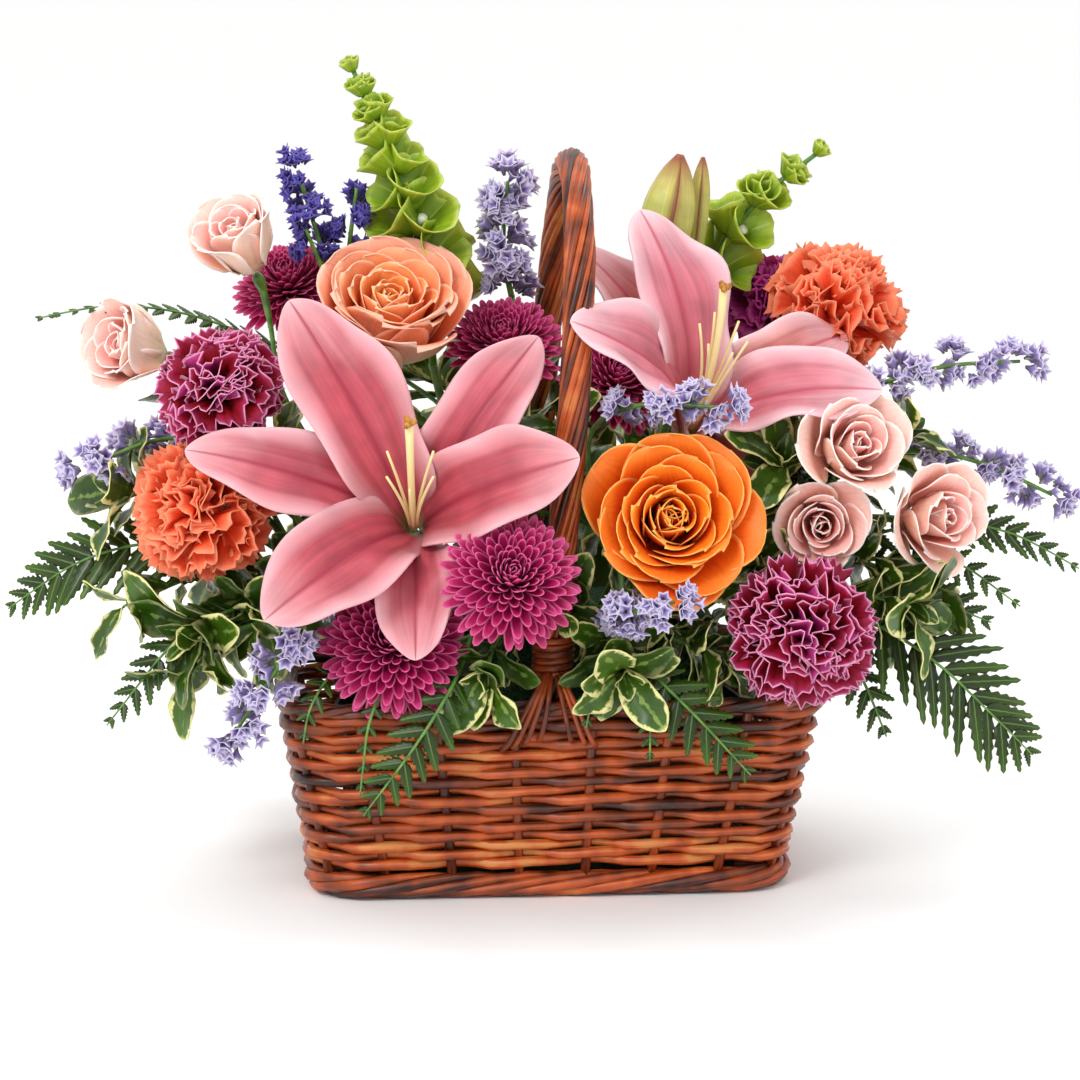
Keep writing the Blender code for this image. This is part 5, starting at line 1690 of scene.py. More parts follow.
@dataclass
class BellSpike(Sprig):
    """Spike of Bells of Ireland: lobed cups that shrink to a closed tuft at the tip.

    Attributes:
        cups: Number of cups of the CAD node.
    """

    cups: int

    @staticmethod
    def cup(place: Matrix, flare: float, draw: Random) -> Surface:
        """Surface of one cup.

        Args:
            place: Frame of its foot.
            flare: How far its mouth opens, from 0 to 1.
            draw: Source of its uneven mouth.

        Returns:
            The point at (across, along).
        """
        phase = draw.uniform(0, 6.28)
        steps = 30
        half = ((0.4, 0, 0), (3.4, 1.8, 0), (5.2, 6, 0), (6 + 3.8 * flare, 11.6, 0))
        profile = smooth_route(half, steps)

        def surface(across: float, along: float) -> Vector:
            """Point of the cup."""
            turn = pi * across
            radius, height, _ = profile[round(along * steps)]
            lobe = abs(cos(2.5 * turn + phase))
            radius *= 1 + 0.13 * along**2 * (lobe - 0.5)
            height += 1.5 * along**3 * (lobe - 0.5) + 0.5 * along**3 * sin(3 * turn + phase)
            return place @ polar(radius, turn, height)

        return surface

    def build(self) -> None:
        """Builds the spike and places its pieces."""
        _, (route,) = self.build_stem("apple_green_bract")
        draw = Random(SEED + self.seed)
        uneven = Random(SEED + 90 + self.seed)
        frames = frames_along(route)
        cad = CadNode(self.name)
        cups = Growth()
        florets = Growth()
        for k in range(self.cups):
            grown = k / (self.cups - 1)
            place = along_route(route, frames, 0.2 + 0.8 * grown**0.85)
            turn = 2.2 * k + draw.uniform(-0.2, 0.2)
            size = 1.75 - 1.25 * grown**1.2
            ways = [(turn, 58 - 46 * grown, size)]
            if k:
                spare = [uneven.uniform(-0.5, 0.5) for _ in range(2)]
                ways.append((turn + 2.2 + spare[0], 66 - 44 * grown, size * 0.86))
                ways.append((turn + 4.3 + spare[1], 56 - 40 * grown, size))
            if grown > 0.55:
                ways.append((turn + 1.1, 50 - 40 * grown, size * 0.8))
                ways.append((turn + 3.2, 54 - 40 * grown, size * 0.9))
            for number, (azimuth, lean, scale) in enumerate(ways):
                out = place @ Matrix.Rotation(azimuth, 4, "Z")
                out = out @ Matrix.Rotation(radians(lean), 4, "Y") @ Matrix.Scale(scale, 4)
                if number == 0 and cad.distance(out @ Vector((9, 0, 12))) > 9.0 * scale:
                    continue
                cups.sheet(self.cup(out, 1 - 0.8 * grown, uneven), 20, 8, uneven.random(), (5, 1))
                if number == 0 and grown < 0.7:
                    heart = [out @ Vector((0, 0, z)) for z in (1, 4, 6.5)]
                    florets.rod(heart, lambda share: 1 + 1.2 * share, 8)
        cups.piece(f"{self.name}_cups", [BELL_TISSUE], "apple_green_bract", self.name, 0.5)
        florets.piece(f"{self.name}_florets", [BELL_FLORET], "apple_green_bract", self.name)


# Statice calyces, dry and papery: no shine, with a nearly white rim.
LAVENDER_PAPER = Tissue(
    "statice_calyx_lavender",
    heart=((0, "#78804e"), (0.25, "#7c6f9e"), (0.6, "#9486b8"), (1, "#c0b4d8")),
    guard=((0, "#78804e"), (0.25, "#6a5c92"), (0.6, "#7e70ac"), (1, "#a89cce")), margin="#e2daee",
    rim=(0.24, 0.8), streaks=8, streak_depth=0.15, rough=0.75, glow=0.1,
)
BLUE_PAPER = Tissue(
    "statice_calyx_blue",
    heart=((0, "#4a4a34"), (0.25, "#342e70"), (0.6, "#403890"), (1, "#5a50a8")),
    guard=((0, "#4a4a34"), (0.25, "#262054"), (0.6, "#322a78"), (1, "#463c94")), margin="#7a70c4",
    rim=(0.2, 0.5), streaks=8, streak_depth=0.2, rough=0.75, glow=0.1,
)


@dataclass
class StaticeSpray(Sprig):
    """Spray of statice: tight clusters of pleated papery calyces along each branch.

    Attributes:
        paper: Finish of the calyces.
        slot: The record's material slot.
        firsts: Share of each branch at which the calyces start.
        spacing: Spacing of the CAD florets.
        size: Size of the CAD florets.
        crowd: Calyces that stand for one floret of the CAD node.
    """

    paper: Tissue
    slot: str
    firsts: tuple[float, ...]
    spacing: float
    size: float
    crowd: int = 13

    @staticmethod
    def calyx(place: Matrix, size: float) -> Surface:
        """Surface of one pleated five-pointed trumpet, a given length long."""

        def surface(across: float, along: float) -> Vector:
            """Point of the trumpet."""
            turn = pi * across
            radius = size * (0.08 + 0.52 * along**1.6)
            radius *= 1 + 0.22 * along * cos(5 * turn)
            height = size * (along - 0.12 * along**3 * (1 - cos(5 * turn)))
            return place @ polar(radius, turn, height)

        return surface

    def build(self) -> None:
        """Builds the spray and places its pieces."""
        _, branches = self.build_stem(self.slot)
        cad = CadNode(self.name)
        uneven = Random(SEED + 100 + self.seed)
        spray = Growth()
        for number, (route, first) in enumerate(zip(branches, self.firsts)):
            draw = Random(SEED + 10 * self.seed + number)
            frames = frames_along(route)
            count = int(length_of(route) * (1 - first) / self.spacing)
            for k in range(count + 1):
                place = along_route(route, frames, first + (1 - first) * k / count)
                lean = radians(draw.uniform(48, 66) if k < count else 8)
                turn = Matrix.Rotation(2.4 * k + draw.uniform(-0.3, 0.3), 4, "Z")
                out = place @ turn @ Matrix.Rotation(lean, 4, "Y")
                if cad.distance(out @ Vector((0, 0, self.size * 1.25))) > self.size * 0.55:
                    continue
                for _ in range(self.crowd):
                    side = uneven.uniform(0, 6.28)
                    away = self.size * 0.5 * sqrt(uneven.random())
                    rise = self.size * uneven.uniform(0.25, 0.85)
                    tilt = radians(70 * away / self.size)
                    spot = out @ Matrix.Rotation(side, 4, "Z")
                    spot = spot @ Matrix.Translation((away, 0, rise))
                    spot = spot @ Matrix.Rotation(tilt, 4, "Y")
                    trumpet = self.calyx(spot, self.size * uneven.uniform(0.5, 0.66))
                    spray.sheet(trumpet, 10, 3, uneven.random())
        spray.piece(f"{self.name}_calyces", [self.paper], self.slot, self.name, 0.25)


# Leatherleaf blades, grown: tough dark green skin with a low shine.
FERN_TISSUE = Tissue(
    "leatherleaf_fern", heart=((0, "#142403"), (0.5, "#1c3204"), (1, "#2c4a0a")),
    guard=((0, "#203206"), (0.5, "#2e4a08"), (1, "#426412")), margin="#487018", rim=(0.2, 0.35),
    rib="#6f9a4c", rib_band=(0.14, 0.6), streaks=6, streak_depth=0.2, mottle_depth=0.2, rough=0.36,
    glow=0.06, vein_relief_mm=0.25,
)


@dataclass(frozen=True)
class Frond:
    """A fern frond.

    Attributes:
        route: Its rib's points from the fork.
        face: The way that its upper face looks.
        width: Its widest width.
        pairs: Pairs of leaflets that the CAD blade is cut into.
    """

    route: tuple[Point, ...]
    face: Point
    width: float
    pairs: int

    def upward(self, ahead: Vector) -> Vector:
        """The way that its upper face looks, square to the rib's direction."""
        face = Vector(self.face)
        return (face - ahead * ahead.dot(face)).normalized()

    def half(self, along: float, slim: float) -> float:
        """Half its width at a share of the blade's length, if it is slimmed by a factor."""
        return self.width * slim / 2 * sin(pi * (0.22 + 0.78 * along)) ** 0.75


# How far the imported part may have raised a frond's tip, and how far it may have slimmed it.
FROND_LIFTS = (0, -5, 5, -10, 10, 15, -15)
FROND_SLIMS = (1, 0.75, 0.5)
LEAFLET_ROWS = 12


@dataclass
class Fern:
    """Leatherleaf fern: fronds of toothed leaflets along a rib.

    Attributes:
        name: Its CAD node.
        fork: Where its stalks part.
        fronds: Its fronds.
        seed: Seed of its uneven leaflets.
        trunk: Radius of the stalk that stands in the foam.
        stalk: Radius of a frond's stalk in the CAD node.
        leaflet_pitch: Distance between leaflets along the rib.
    """

    name: str
    fork: Point
    fronds: tuple[Frond, ...]
    seed: int = 0
    trunk: float = 1.5
    stalk: float = 1.3
    leaflet_pitch: float = 7.6

    @staticmethod
    def leaflet(
        root: Vector, way: Vector, up: Vector, length: float, width: float, droop: float
    ) -> Surface:
        """Surface of one toothed leaflet.

        Args:
            root: Where it leaves the rib.
            way: Its direction.
            up: The way that its upper face looks.
            length: Its length.
            width: Its full width.
            droop: How far its tip hangs, as a share of its length.

        Returns:
            The point at (across, along).
        """
        side = up.cross(way).normalized()

        def surface(across: float, along: float) -> Vector:
            """Point of the leaflet."""
            row = round(along * LEAFLET_ROWS)
            envelope = (1 - along) ** 0.55 * min(1, 5 * along + 0.25)
            tooth = 1.0 if row % 2 else 0.68
            half = width / 2 * envelope * (tooth if row < LEAFLET_ROWS else 0)
            ahead = along * length + (0.3 * half * abs(across) if row % 2 else 0)
            fall = droop * length * along**2 + 0.25 * half * abs(across)
            return root + way * ahead + side * across * half - up * fall

        return surface

    def build(self) -> None:
        """Builds the fern and places its pieces."""
        cad = CadNode(self.name)
        foot, leave = standing(cad, self.fork, self.trunk)
        draw = Random(SEED + 120 + self.seed)
        stalks = Growth()
        leaves = Growth()

        def routes(nudge: Vector) -> list[tuple[int, list[Vector]]]:
            """Where each frond's blade starts, and its route, with the fork nudged."""
            fork = Vector(self.fork) + nudge
            start = fork - (fork - leave).normalized()
            found = []
            for frond in self.fronds:
                route = smooth_route((start, *frond.route), 24)
                reach = (Vector(frond.route[0]) - start).length * 0.8
                first = next(k for k, p in enumerate(route) if (p - start).length > reach)
                found.append((first, route))
            return found

        def score(nudge: Vector) -> int:
            """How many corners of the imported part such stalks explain."""
            middles = [route[first // 2] for first, route in routes(nudge)]
            return cad.rings(middles, self.stalk)

        nudge = max(NUDGES, key=score)
        stalks.rod([foot, leave, Vector(self.fork) + nudge], self.trunk, 8)
        for frond, (first, route) in zip(self.fronds, routes(nudge)):
            lifts = [
                lift for lift in FROND_LIFTS if cad.has_point(route[-1] + Vector((0, 0, lift)), 0.2)
            ]
            if not lifts:
                log.info("%s: a frond has no clear place", self.name)
                continue
            rib = [
                p + Vector((0, 0, lifts[0])) * max(k - first, 0) / (len(route) - 1 - first)
                for k, p in enumerate(route)
            ]
            slim = self.slimness(cad, frond, rib[first:])
            fine = smooth_route(rib[::3] + [rib[-1]], 60)
            stalks.rod(fine, lambda share: 1.15 - 0.8 * share, 6)
            self.grow(leaves, frond, fine, first / (len(route) - 1), slim, draw)
        leaves.piece(f"{self.name}_fronds", [FERN_TISSUE], "fern_leaf", self.name, 0.35)
        stalks.piece(f"{self.name}_stalks", [CUT_STEM], "fern_leaf", self.name)

    @staticmethod
    def slimness(cad: CadNode, frond: Frond, rib: Sequence[Vector]) -> float:
        """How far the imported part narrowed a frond: the share whose edges lie nearest to it.

        Args:
            cad: The fern's CAD node.
            frond: The frond.
            rib: Its rib, from the start of the blade.

        Returns:
            The share of its full width.
        """
        steps = 32
        route = smooth_route(rib[::4] + [rib[-1]], steps)
        rows = 2 * frond.pairs
        length = length_of(route)

        def edge_gap(slim: float) -> float:
            """Gap between a slimmed frond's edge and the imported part's corners."""
            gap = 0.0
            for row in (1, 3, 5):
                along = row / rows
                half = frond.half(along, slim)
                index = min((along + 0.55 * half / length) * steps, steps - 1)
                low = int(index)
                middle = route[low].lerp(route[low + 1], index - low)
                ahead = (route[low + 1] - route[low]).normalized()
                up = frond.upward(ahead)
                gap += cad.distance(middle + up.cross(ahead) * half - up * 0.16 * half)
            return gap

        return min(FROND_SLIMS, key=edge_gap)

    def grow(
        self, leaves: Growth, frond: Frond, rib: Sequence[Vector], first: float, slim: float,
        draw: Random,
    ) -> None:
        """Adds a frond's leaflets.

        Args:
            leaves: The mesh that they are added to.
            frond: The frond.
            rib: Its rib, from the fork.
            first: Share of the rib at which the blade starts.
            slim: Share of the frond's full width.
            draw: Source of their unevenness.
        """
        blade = length_of(rib) * (1 - first)
        count = max(int(blade / self.leaflet_pitch), 6)
        for k in range(count):
            along = (k + 0.3) / count
            index = (first + (1 - first) * along) * (len(rib) - 1)
            low = min(int(index), len(rib) - 2)
            ahead = (rib[low + 1] - rib[low]).normalized()
            up = frond.upward(ahead)
            reach = frond.half(along, slim) * 1.12
            for sign in (-1, 1):
                lean = radians(draw.uniform(50, 62) * (1 - 0.35 * along))
                way = (ahead * cos(lean) + up.cross(ahead) * sign * sin(lean)).normalized()
                twist = Matrix.Rotation(draw.uniform(-0.22, 0.22), 3, way)
                length = max(reach * draw.uniform(0.9, 1.08), 3)
                root = rib[low].lerp(rib[low + 1], index - low)
                width = min(0.42 * length, self.leaflet_pitch * 1.05) + 1.4
                shape = self.leaflet(root, way, twist @ up, length, width, draw.uniform(0.05, 0.2))
                leaves.sheet(shape, 4, LEAFLET_ROWS, draw.random())
        tip = (rib[-1] - rib[-2]).normalized()
        length = (rib[-1] - rib[-3]).length
        shape = self.leaflet(rib[-3], tip, frond.upward(tip), length, 4, 0)
        leaves.sheet(shape, 4, LEAFLET_ROWS, 0.6)


# Full-grown pittosporum leaf, and what may be tried to keep one clear: turn, lean and scale.
LEAF = Petal(
    length=36, width=18, bend=(34, 58, 76), root=(0.2, 0), root_width=1.6, belly=1.35,
    fullness=0.72, cup=(16, 22), wave=1.4, waves=1.5, groove=0.5,
)
LEAF_TRIES = (
    (0, 0, 1), (0, 22, 1), (0, -22, 1), (18, 10, 0.9), (-18, 10, 0.9), (0, 40, 0.85), (0, 0, 0.7),
    (24, 30, 0.7), (-24, 30, 0.7),
)
# Pittosporum leaves, grown: glossy green with an uneven cream edge.
VARIEGATED = Tissue(
    "variegated_pittosporum_leaf", heart=((0, "#2e4a10"), (0.5, "#24420a"), (1, "#365a12")),
    guard=((0, "#4c7018"), (0.5, "#3c6010"), (1, "#52781c")), margin="#e4e098", rim=(0.26, 2),
    ragged=0.09, plain=0.5, rib="#8aa450", rib_band=(0.1, 0.7), streaks=12, streak_depth=0.15,
    mottle_mm=5, mottle_depth=0.25, rough=0.3, glow=0.08, vein_relief_mm=0.25,
)


class Obstacles:
    """The surfaces of the CAD nodes that a filling leaf has to stay clear of."""

    def __init__(self, *starts: str) -> None:
        """Gathers the nodes whose names start with any of the given words."""
        points = []
        faces = []
        for name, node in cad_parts.items():
            if name.startswith(starts):
                first = len(points)
                points += [vert.co / MM for vert in node.data.vertices]
                faces += [[first + k for k in face.vertices] for face in node.data.polygons]
        self.tree = BVHTree.FromPolygons(points, faces)

    def clear(self, surface: Surface, gap: float = 1.6) -> bool:
        """Whether a sheet keeps a gap to all of them.

        Args:
            surface: The sheet.
            gap: The least distance in millimetres.

        Returns:
            True if it does.
        """
        places = ((across, along) for across in (-1, 0, 1) for along in (0.3, 0.55, 0.8, 1))
        return all(
            self.tree.find_nearest(spot, gap)[0] is None
            and all(low / MM < c < high / MM for low, c, high in zip(CAD_BOX[0], spot, CAD_BOX[1]))
            for spot in (surface(*place) for place in places)
        )


@dataclass
class Pittosporum(Sprig):
    """Variegated pittosporum: a whorl of wavy cream-edged leaves at the end of each shoot.

    Attributes:
        leaves: Number of leaves and their size, for each shoot.
        obstacles: What its filling leaves keep clear of.
        twigs: Tips of the twigs that fill the room between the blooms.
    """

    leaves: tuple[tuple[int, float], ...]
    obstacles: Obstacles
    twigs: tuple[Point, ...]

    def scatter(
        self, foliage: Growth, route: Sequence[Vector], size: float, count: int, draw: Random
    ) -> int:
        """Adds leaves along a shoot wherever there is room for them.

        Args:
            foliage: The mesh that they are added to.
            route: The shoot's points.
            size: Scale of the leaves.
            count: Leaves that are tried.
            draw: Source of their unevenness.

        Returns:
            How many found room.
        """
        frames = frames_along(route)
        kept = 0
        for k in range(count):
            share = 0.3 + 0.7 * k / (count - 1)
            spot = along_route(route, frames, share)
            grow = size * draw.uniform(0.7, 1)
            for turn, tilt, scale in LEAF_TRIES:
                lean = 72 - 40 * share + tilt * 0.7 + draw.uniform(-8, 8)
                leaf = replace(
                    LEAF, length=36 * grow * scale, width=17.5 * grow * scale,
                    bend=(lean, lean + 20, lean + 34), wave=draw.uniform(0.8, 2.2),
                    waves=draw.uniform(1.2, 2.4),
                )
                surface = petal_surface(leaf, spot, GOLDEN_DEGREES * k + turn)
                if surface(0, 1).z > 40.0 and self.obstacles.clear(surface):
                    foliage.sheet(surface, 6, 9, draw.random())
                    kept += 1
                    break
        return kept

    def fill(self, foliage: Growth, wood: Growth, start: Vector, end: Vector, draw: Random) -> None:
        """Adds a twig between the blooms, with its leaves.

        Args:
            foliage: The mesh of the leaves.
            wood: The mesh of the twigs.
            start: Where the twig parts from the stem.
            end: Its tip.
            draw: Source of the unevenness.
        """
        for sway in NUDGES:
            middle = start.lerp(end, 0.5) + Vector((0, 0, 6)) + sway
            route = smooth_route((start, middle, end), 10)
            if all(self.obstacles.tree.find_nearest(p, 1.4)[0] is None for p in route[1:]):
                break
        else:
            log.info("%s: no room for a twig to %s", self.name, tuple(end))
            return
        wood.rod(route, lambda share: 1.4 - 0.8 * share, 6)
        kept = self.scatter(foliage, route, 0.9, 11, draw)
        log.info("%s: %d leaves on the twig to %s", self.name, kept, tuple(end))

    def build(self) -> None:
        """Builds the sprig and places its pieces."""
        stem, branches = self.build_stem("pittosporum_leaf")
        cad = CadNode(self.name)
        uneven = Random(SEED + 140 + self.seed)
        foliage = Growth()
        for number, (route, (count, size)) in enumerate(zip(branches, self.leaves)):
            draw = Random(SEED + 43 + 10 * self.seed + number)
            place = along_route(route, frames_along(route), 1)
            kept = 0
            for k in range(count):
                azimuth = 360 * k / count + 77 + draw.uniform(-12, 12)
                grow = size * draw.uniform(0.85, 1.1)
                for turn, tilt, scale in LEAF_TRIES:
                    full = grow * scale
                    bend = tuple(angle + tilt for angle in LEAF.bend)
                    leaf = replace(LEAF, length=36 * full, width=18 * full, bend=bend)
                    surface = petal_surface(leaf, place, azimuth + turn)
                    if cad.has_point(surface(0, 1), 0.3):
                        leaf = replace(
                            leaf, wave=uneven.uniform(0.8, 2.2), waves=uneven.uniform(1.2, 2.4)
                        )
                        surface = petal_surface(leaf, place, azimuth + turn)
                        foliage.sheet(surface, 8, 14, uneven.random())
                        kept += 1
                        break
            self.scatter(foliage, route, size, 12, uneven)
            for k in range(3):
                bend = (8 + 4 * k, 22, 36 + 6 * k)
                young = replace(LEAF, length=17 * size, width=7.5 * size, bend=bend, wave=0.8)
                foliage.sheet(petal_surface(young, place, 120 * k + 40), 6, 12, uneven.random())
            log.info("%s shoot %d: %d of %d leaves", self.name, number, kept, count)
        wood = Growth()
        for end in self.twigs:
            self.fill(foliage, wood, stem[-1], Vector(end), uneven)
        wood.piece(f"{self.name}_twigs", [CUT_STEM], "pittosporum_leaf", self.name)
        foliage.piece(f"{self.name}_leaves", [VARIEGATED], "pittosporum_leaf", self.name, 0.45)


# -------- what stands where
LILY_1 = Head((-59, -80, 174), (-0.06, -0.88, 0.46))
LILY_2 = Head((70, -44, 218), (0.27, -0.65, 0.71))
# Azimuth, share of the full length, extra lean at the tip, and whether it is a broad inner tepal.
LILY_1_TEPALS = (
    (120, 1.14, 6, True), (52, 0.98, 6, False), (8, 0.88, -18, True), (274, 0.68, 4, False),
    (224, 0.92, 0, True), (166, 1.05, 0, False),
)
LILY_2_TEPALS = (
    (100, 0.98, -6, True), (124, 0.92, -8, False), (168, 0.92, -20, True), (292, 0.52, 40, False),
    (336, 0.86, -24, True), (14, 0.85, 2, False),
)
ROSE_1 = Head((-66, -12, 241), (0.08, -0.58, 0.81), 14, 1.1)
ROSE_2 = Head((47, -76, 164), (0.02, -0.93, 0.36))
SPRAY_ROSES = (
    Head((-127, -8, 272), (-0.35, -0.45, 0.82)), Head((-173, -6, 228), (-0.75, -0.58, 0.30)),
    Head((125, -56, 190), (0.30, -0.85, 0.42)),
    Head((112, -60, 158), (-0.10, -0.98, 0.10), size=0.9),
    Head((162, -45, 158), (0.50, -0.83, 0.18)),
)
SPRAY_SHUT = (0.6, 0.55, 0.3, 0.4, 0.3)
CARNATIONS = (
    (Head((-147, -54, 167), (-0.40, -0.85, 0.30)), (CORAL_UPPER,), "coral_petal"),
    (Head((132, 22, 243), (0.45, -0.35, 0.82)), (CORAL_UPPER,), "coral_petal"),
    (
        Head((-138, -46, 219), (-0.30, -0.80, 0.50), size=0.92), (MAROON_REVERSE, MAROON_UPPER),
        "maroon_petal",
    ),
    (
        Head((102, -92, 120), (0.28, -0.94, 0.15), size=1.06), (MAROON_REVERSE, MAROON_UPPER),
        "maroon_petal",
    ),
    (Head((106, 58, 236), (0, -0.50, 0.86), size=0.76), (MAGENTA_UPPER,), "magenta_petal"),
)
MUMS = (
    Head((-19, -100, 147), (0.02, -0.85, 0.50), size=0.98),
    Head((-68, -82, 118), (-0.12, -0.88, 0.42), size=1.05),
    Head((-16, 14, 228), (-0.10, -0.60, 0.80), size=0.9),
    Head((33, 4, 212), (0.20, -0.72, 0.66), size=0.84),
    Head((-108, 30, 252), (-0.20, -0.50, 0.85), size=0.86),
)
# Radius of the stem, fork, branch and number of cups.
BELLS = {
    "bells_of_ireland_left": (
        1.9, (-46, 26, 216), ((-50, 22, 262), (-62, 18, 304), (-79, 15, 342)), 9
    ),
    "bells_of_ireland_right": (
        1.9, (66, 50, 206), ((72, 52, 240), (90, 42, 276), (121, 34, 304)), 6
    ),
}
# Fork, branches, share of each at which the calyces start, spacing and size.
STATICE = {
    "statice_blue": (
        (-84, 22, 236),
        (
            ((-92, 20, 262), (-103, 16, 300)), ((-92, 14, 256), (-100, 8, 276)),
            ((-82, 22, 262), (-78, 20, 292)),
        ),
        (0.5, 0.6, 0.5), 6.6, 7.5,
    ),
    "statice_middle": ((-16, 34, 244), (((-15, 30, 266), (-13, 26, 294)),), (0,), 4.6, 10),
    "statice_left": (
        (-98, -34, 146),
        (
            ((-120, -22, 178), (-150, -24, 194), (-192, -34, 182)),
            ((-98, -62, 139), (-108, -80, 116), (-132, -86, 80)),
        ),
        (0.5, 0.3), 6.8, 9.6,
    ),
    "statice_front": (
        (30, -44, 140),
        (
            ((16, -36, 180), (26, -56, 208), (68, -78, 211)),
            ((28, -74, 128), (24, -90, 128), (46, -104, 136)),
        ),
        (0.6, 0.45), 6.2, 8.5,
    ),
    "statice_right": (
        (110, -6, 168),
        (
            ((130, -10, 200), (160, -14, 216), (204, -10, 219)),
            ((140, -8, 178), (176, -16, 180), (217, -22, 163)),
        ),
        (0.36, 0.42), 7, 8.8,
    ),
}
# Fork and fronds.
FERNS = {
    "fern_left": (
        (-112, -24, 126),
        (
            Frond(
                ((-140, -26, 142), (-168, -28, 148), (-198, -28, 140), (-227, -22, 120)),
                (-0.1, -0.8, 0.6), 46, 6,
            ),
            Frond(((-134, -44, 122), (-156, -54, 112), (-185, -60, 78)), (-0.3, -0.8, 0.5), 28, 5),
        ),
    ),
    "fern_front_left": (
        (-34, -54, 112),
        (
            Frond(((-42, -82, 99), (-58, -93, 76), (-80, -96, 47)), (0, -0.9, 0.4), 30, 5),
            Frond(((-62, -66, 105), (-76, -86, 95), (-81, -91, 70)), (-0.1, -0.95, 0.3), 20, 3),
            Frond(((-82, -62, 104), (-99, -84, 94), (-104, -88, 76)), (-0.1, -0.95, 0.3), 16, 3),
        ),
    ),
    "fern_front_right": (
        (30, -56, 110),
        (
            Frond(((42, -82, 99), (58, -92, 84), (79, -95, 61)), (0, -0.9, 0.4), 34, 5),
            Frond(((36, -80, 97), (38, -88, 84), (38, -89, 66)), (0, -0.98, 0.2), 14, 3),
            Frond(((20, -70, 100), (15, -84, 94), (12, -86, 80)), (0, -0.98, 0.2), 14, 3),
        ),
    ),
    "fern_right": (
        (112, -28, 112),
        (
            Frond(
                ((134, -46, 114), (160, -58, 100), (182, -64, 80), (202, -66, 60)),
                (0.2, -0.8, 0.5), 60, 7,
            ),
            Frond(((122, -42, 106), (132, -50, 90), (142, -54, 66)), (0.3, -0.85, 0.3), 26, 4),
            Frond(((130, -34, 116), (158, -38, 122), (188, -42, 112)), (0.2, -0.8, 0.6), 36, 5),
        ),
    ),
    "fern_right_upper": (
        (112, -14, 130),
        (
            Frond(
                ((140, -20, 146), (172, -26, 152), (200, -28, 147), (228, -28, 132)),
                (0.1, -0.7, 0.7), 30, 6,
            ),
            Frond(((142, -22, 136), (172, -32, 137), (201, -38, 118)), (0.1, -0.8, 0.6), 22, 5),
        ),
    ),
    "fern_back": (
        (-30, 52, 132),
        (
            Frond(((-52, 78, 138), (-78, 100, 128), (-104, 112, 96)), (-0.3, 0.8, 0.6), 52, 6),
            Frond(((-22, 84, 134), (-20, 108, 118), (-26, 118, 88)), (0, 0.8, 0.6), 46, 5),
            Frond(
                ((-60, 60, 180), (-110, 40, 214), (-168, 12, 232), (-212, -6, 226)),
                (-0.2, -0.5, 0.8), 26, 5,
            ),
        ),
    ),
}
# Fork, and the shoots: route, number of leaves, and their size.
PITTOSPORUM = {
    "pittosporum_left": (
        (-104, -14, 136),
        (
            (((-136, -8, 162), (-172, -24, 170)), 6, 1.15),
            (((-122, -34, 118), (-144, -54, 117)), 6, 1.25),
        ),
    ),
    "pittosporum_front": (
        (20, -50, 122),
        (
            (((-6, -47.5, 122), (-22, -56, 112), (-28, -74, 103)), 4, 0.95),
            (((24, -64, 112), (27, -82, 104)), 4, 0.95),
            (((48, -58, 112), (72, -68, 104)), 4, 0.95),
        ),
    ),
    "pittosporum_right": (
        (92, -18, 142),
        (
            (((100, -26, 162), (98, -42, 180)), 5, 0.95),
            (((116, -20, 168), (150, -26, 190)), 3, 0.8),
            (((124, -40, 128), (148, -56, 124)), 5, 1),
        ),
    ),
    "pittosporum_back": (
        (24, 40, 142),
        (
            (((40, 66, 160), (58, 84, 168)), 4, 1.5), (((30, 78, 128), (32, 100, 112)), 4, 1.5),
            (((66, 56, 140), (98, 72, 126)), 4, 1.5), (((-10, 44, 176), (-44, 56, 204)), 4, 1.5),
        ),
    ),
}


# -------- stage
@dataclass(frozen=True)
class StudioPaper(Finish):
    """Matt white paper sweep with the faintest fibre grain."""

    name: str = "studio_paper"

    def shade(self, tree: bpy.types.NodeTree) -> bpy.types.Node:
        """Builds the paper's nodes, as Finish.shade says."""
        add = partial(add_node, tree)
        place = add("TexCoord").outputs["Object"]
        grain = add("TexNoise", {0: place, "Scale": 900})
        colour = add("ValToRGB", {0: grain}, ((0.3, "#fefefd"), (0.7, "#ffffff")))
        return add("BsdfPrincipled", {"Base Color": colour, "Roughness": 0.9})


def looking(place: Sequence[float], way: Vector) -> Matrix:
    """Frame of a lamp or a camera at a place that looks along a direction."""
    return Matrix.Translation(place) @ way.to_track_quat("-Z", "Y").to_matrix().to_4x4()


@dataclass(frozen=True)
class Lamp:
    """A soft area light.

    Attributes:
        name: Its name.
        place: Where it stands, in metres.
        size: Its side, in metres.
        watts: Its power.
    """

    name: str
    place: Point
    size: float
    watts: float

    def build(self) -> None:
        """Adds the light, turned to the middle of the arrangement."""
        data = bpy.data.lights.new(self.name, "AREA")
        data.size = self.size
        data.energy = self.watts
        obj = bpy.data.objects.new(self.name, data)
        bpy.context.scene.collection.objects.link(obj)
        aim = Vector((0, 0, 0.15)) - Vector(self.place)
        obj.matrix_world = looking(self.place, aim)


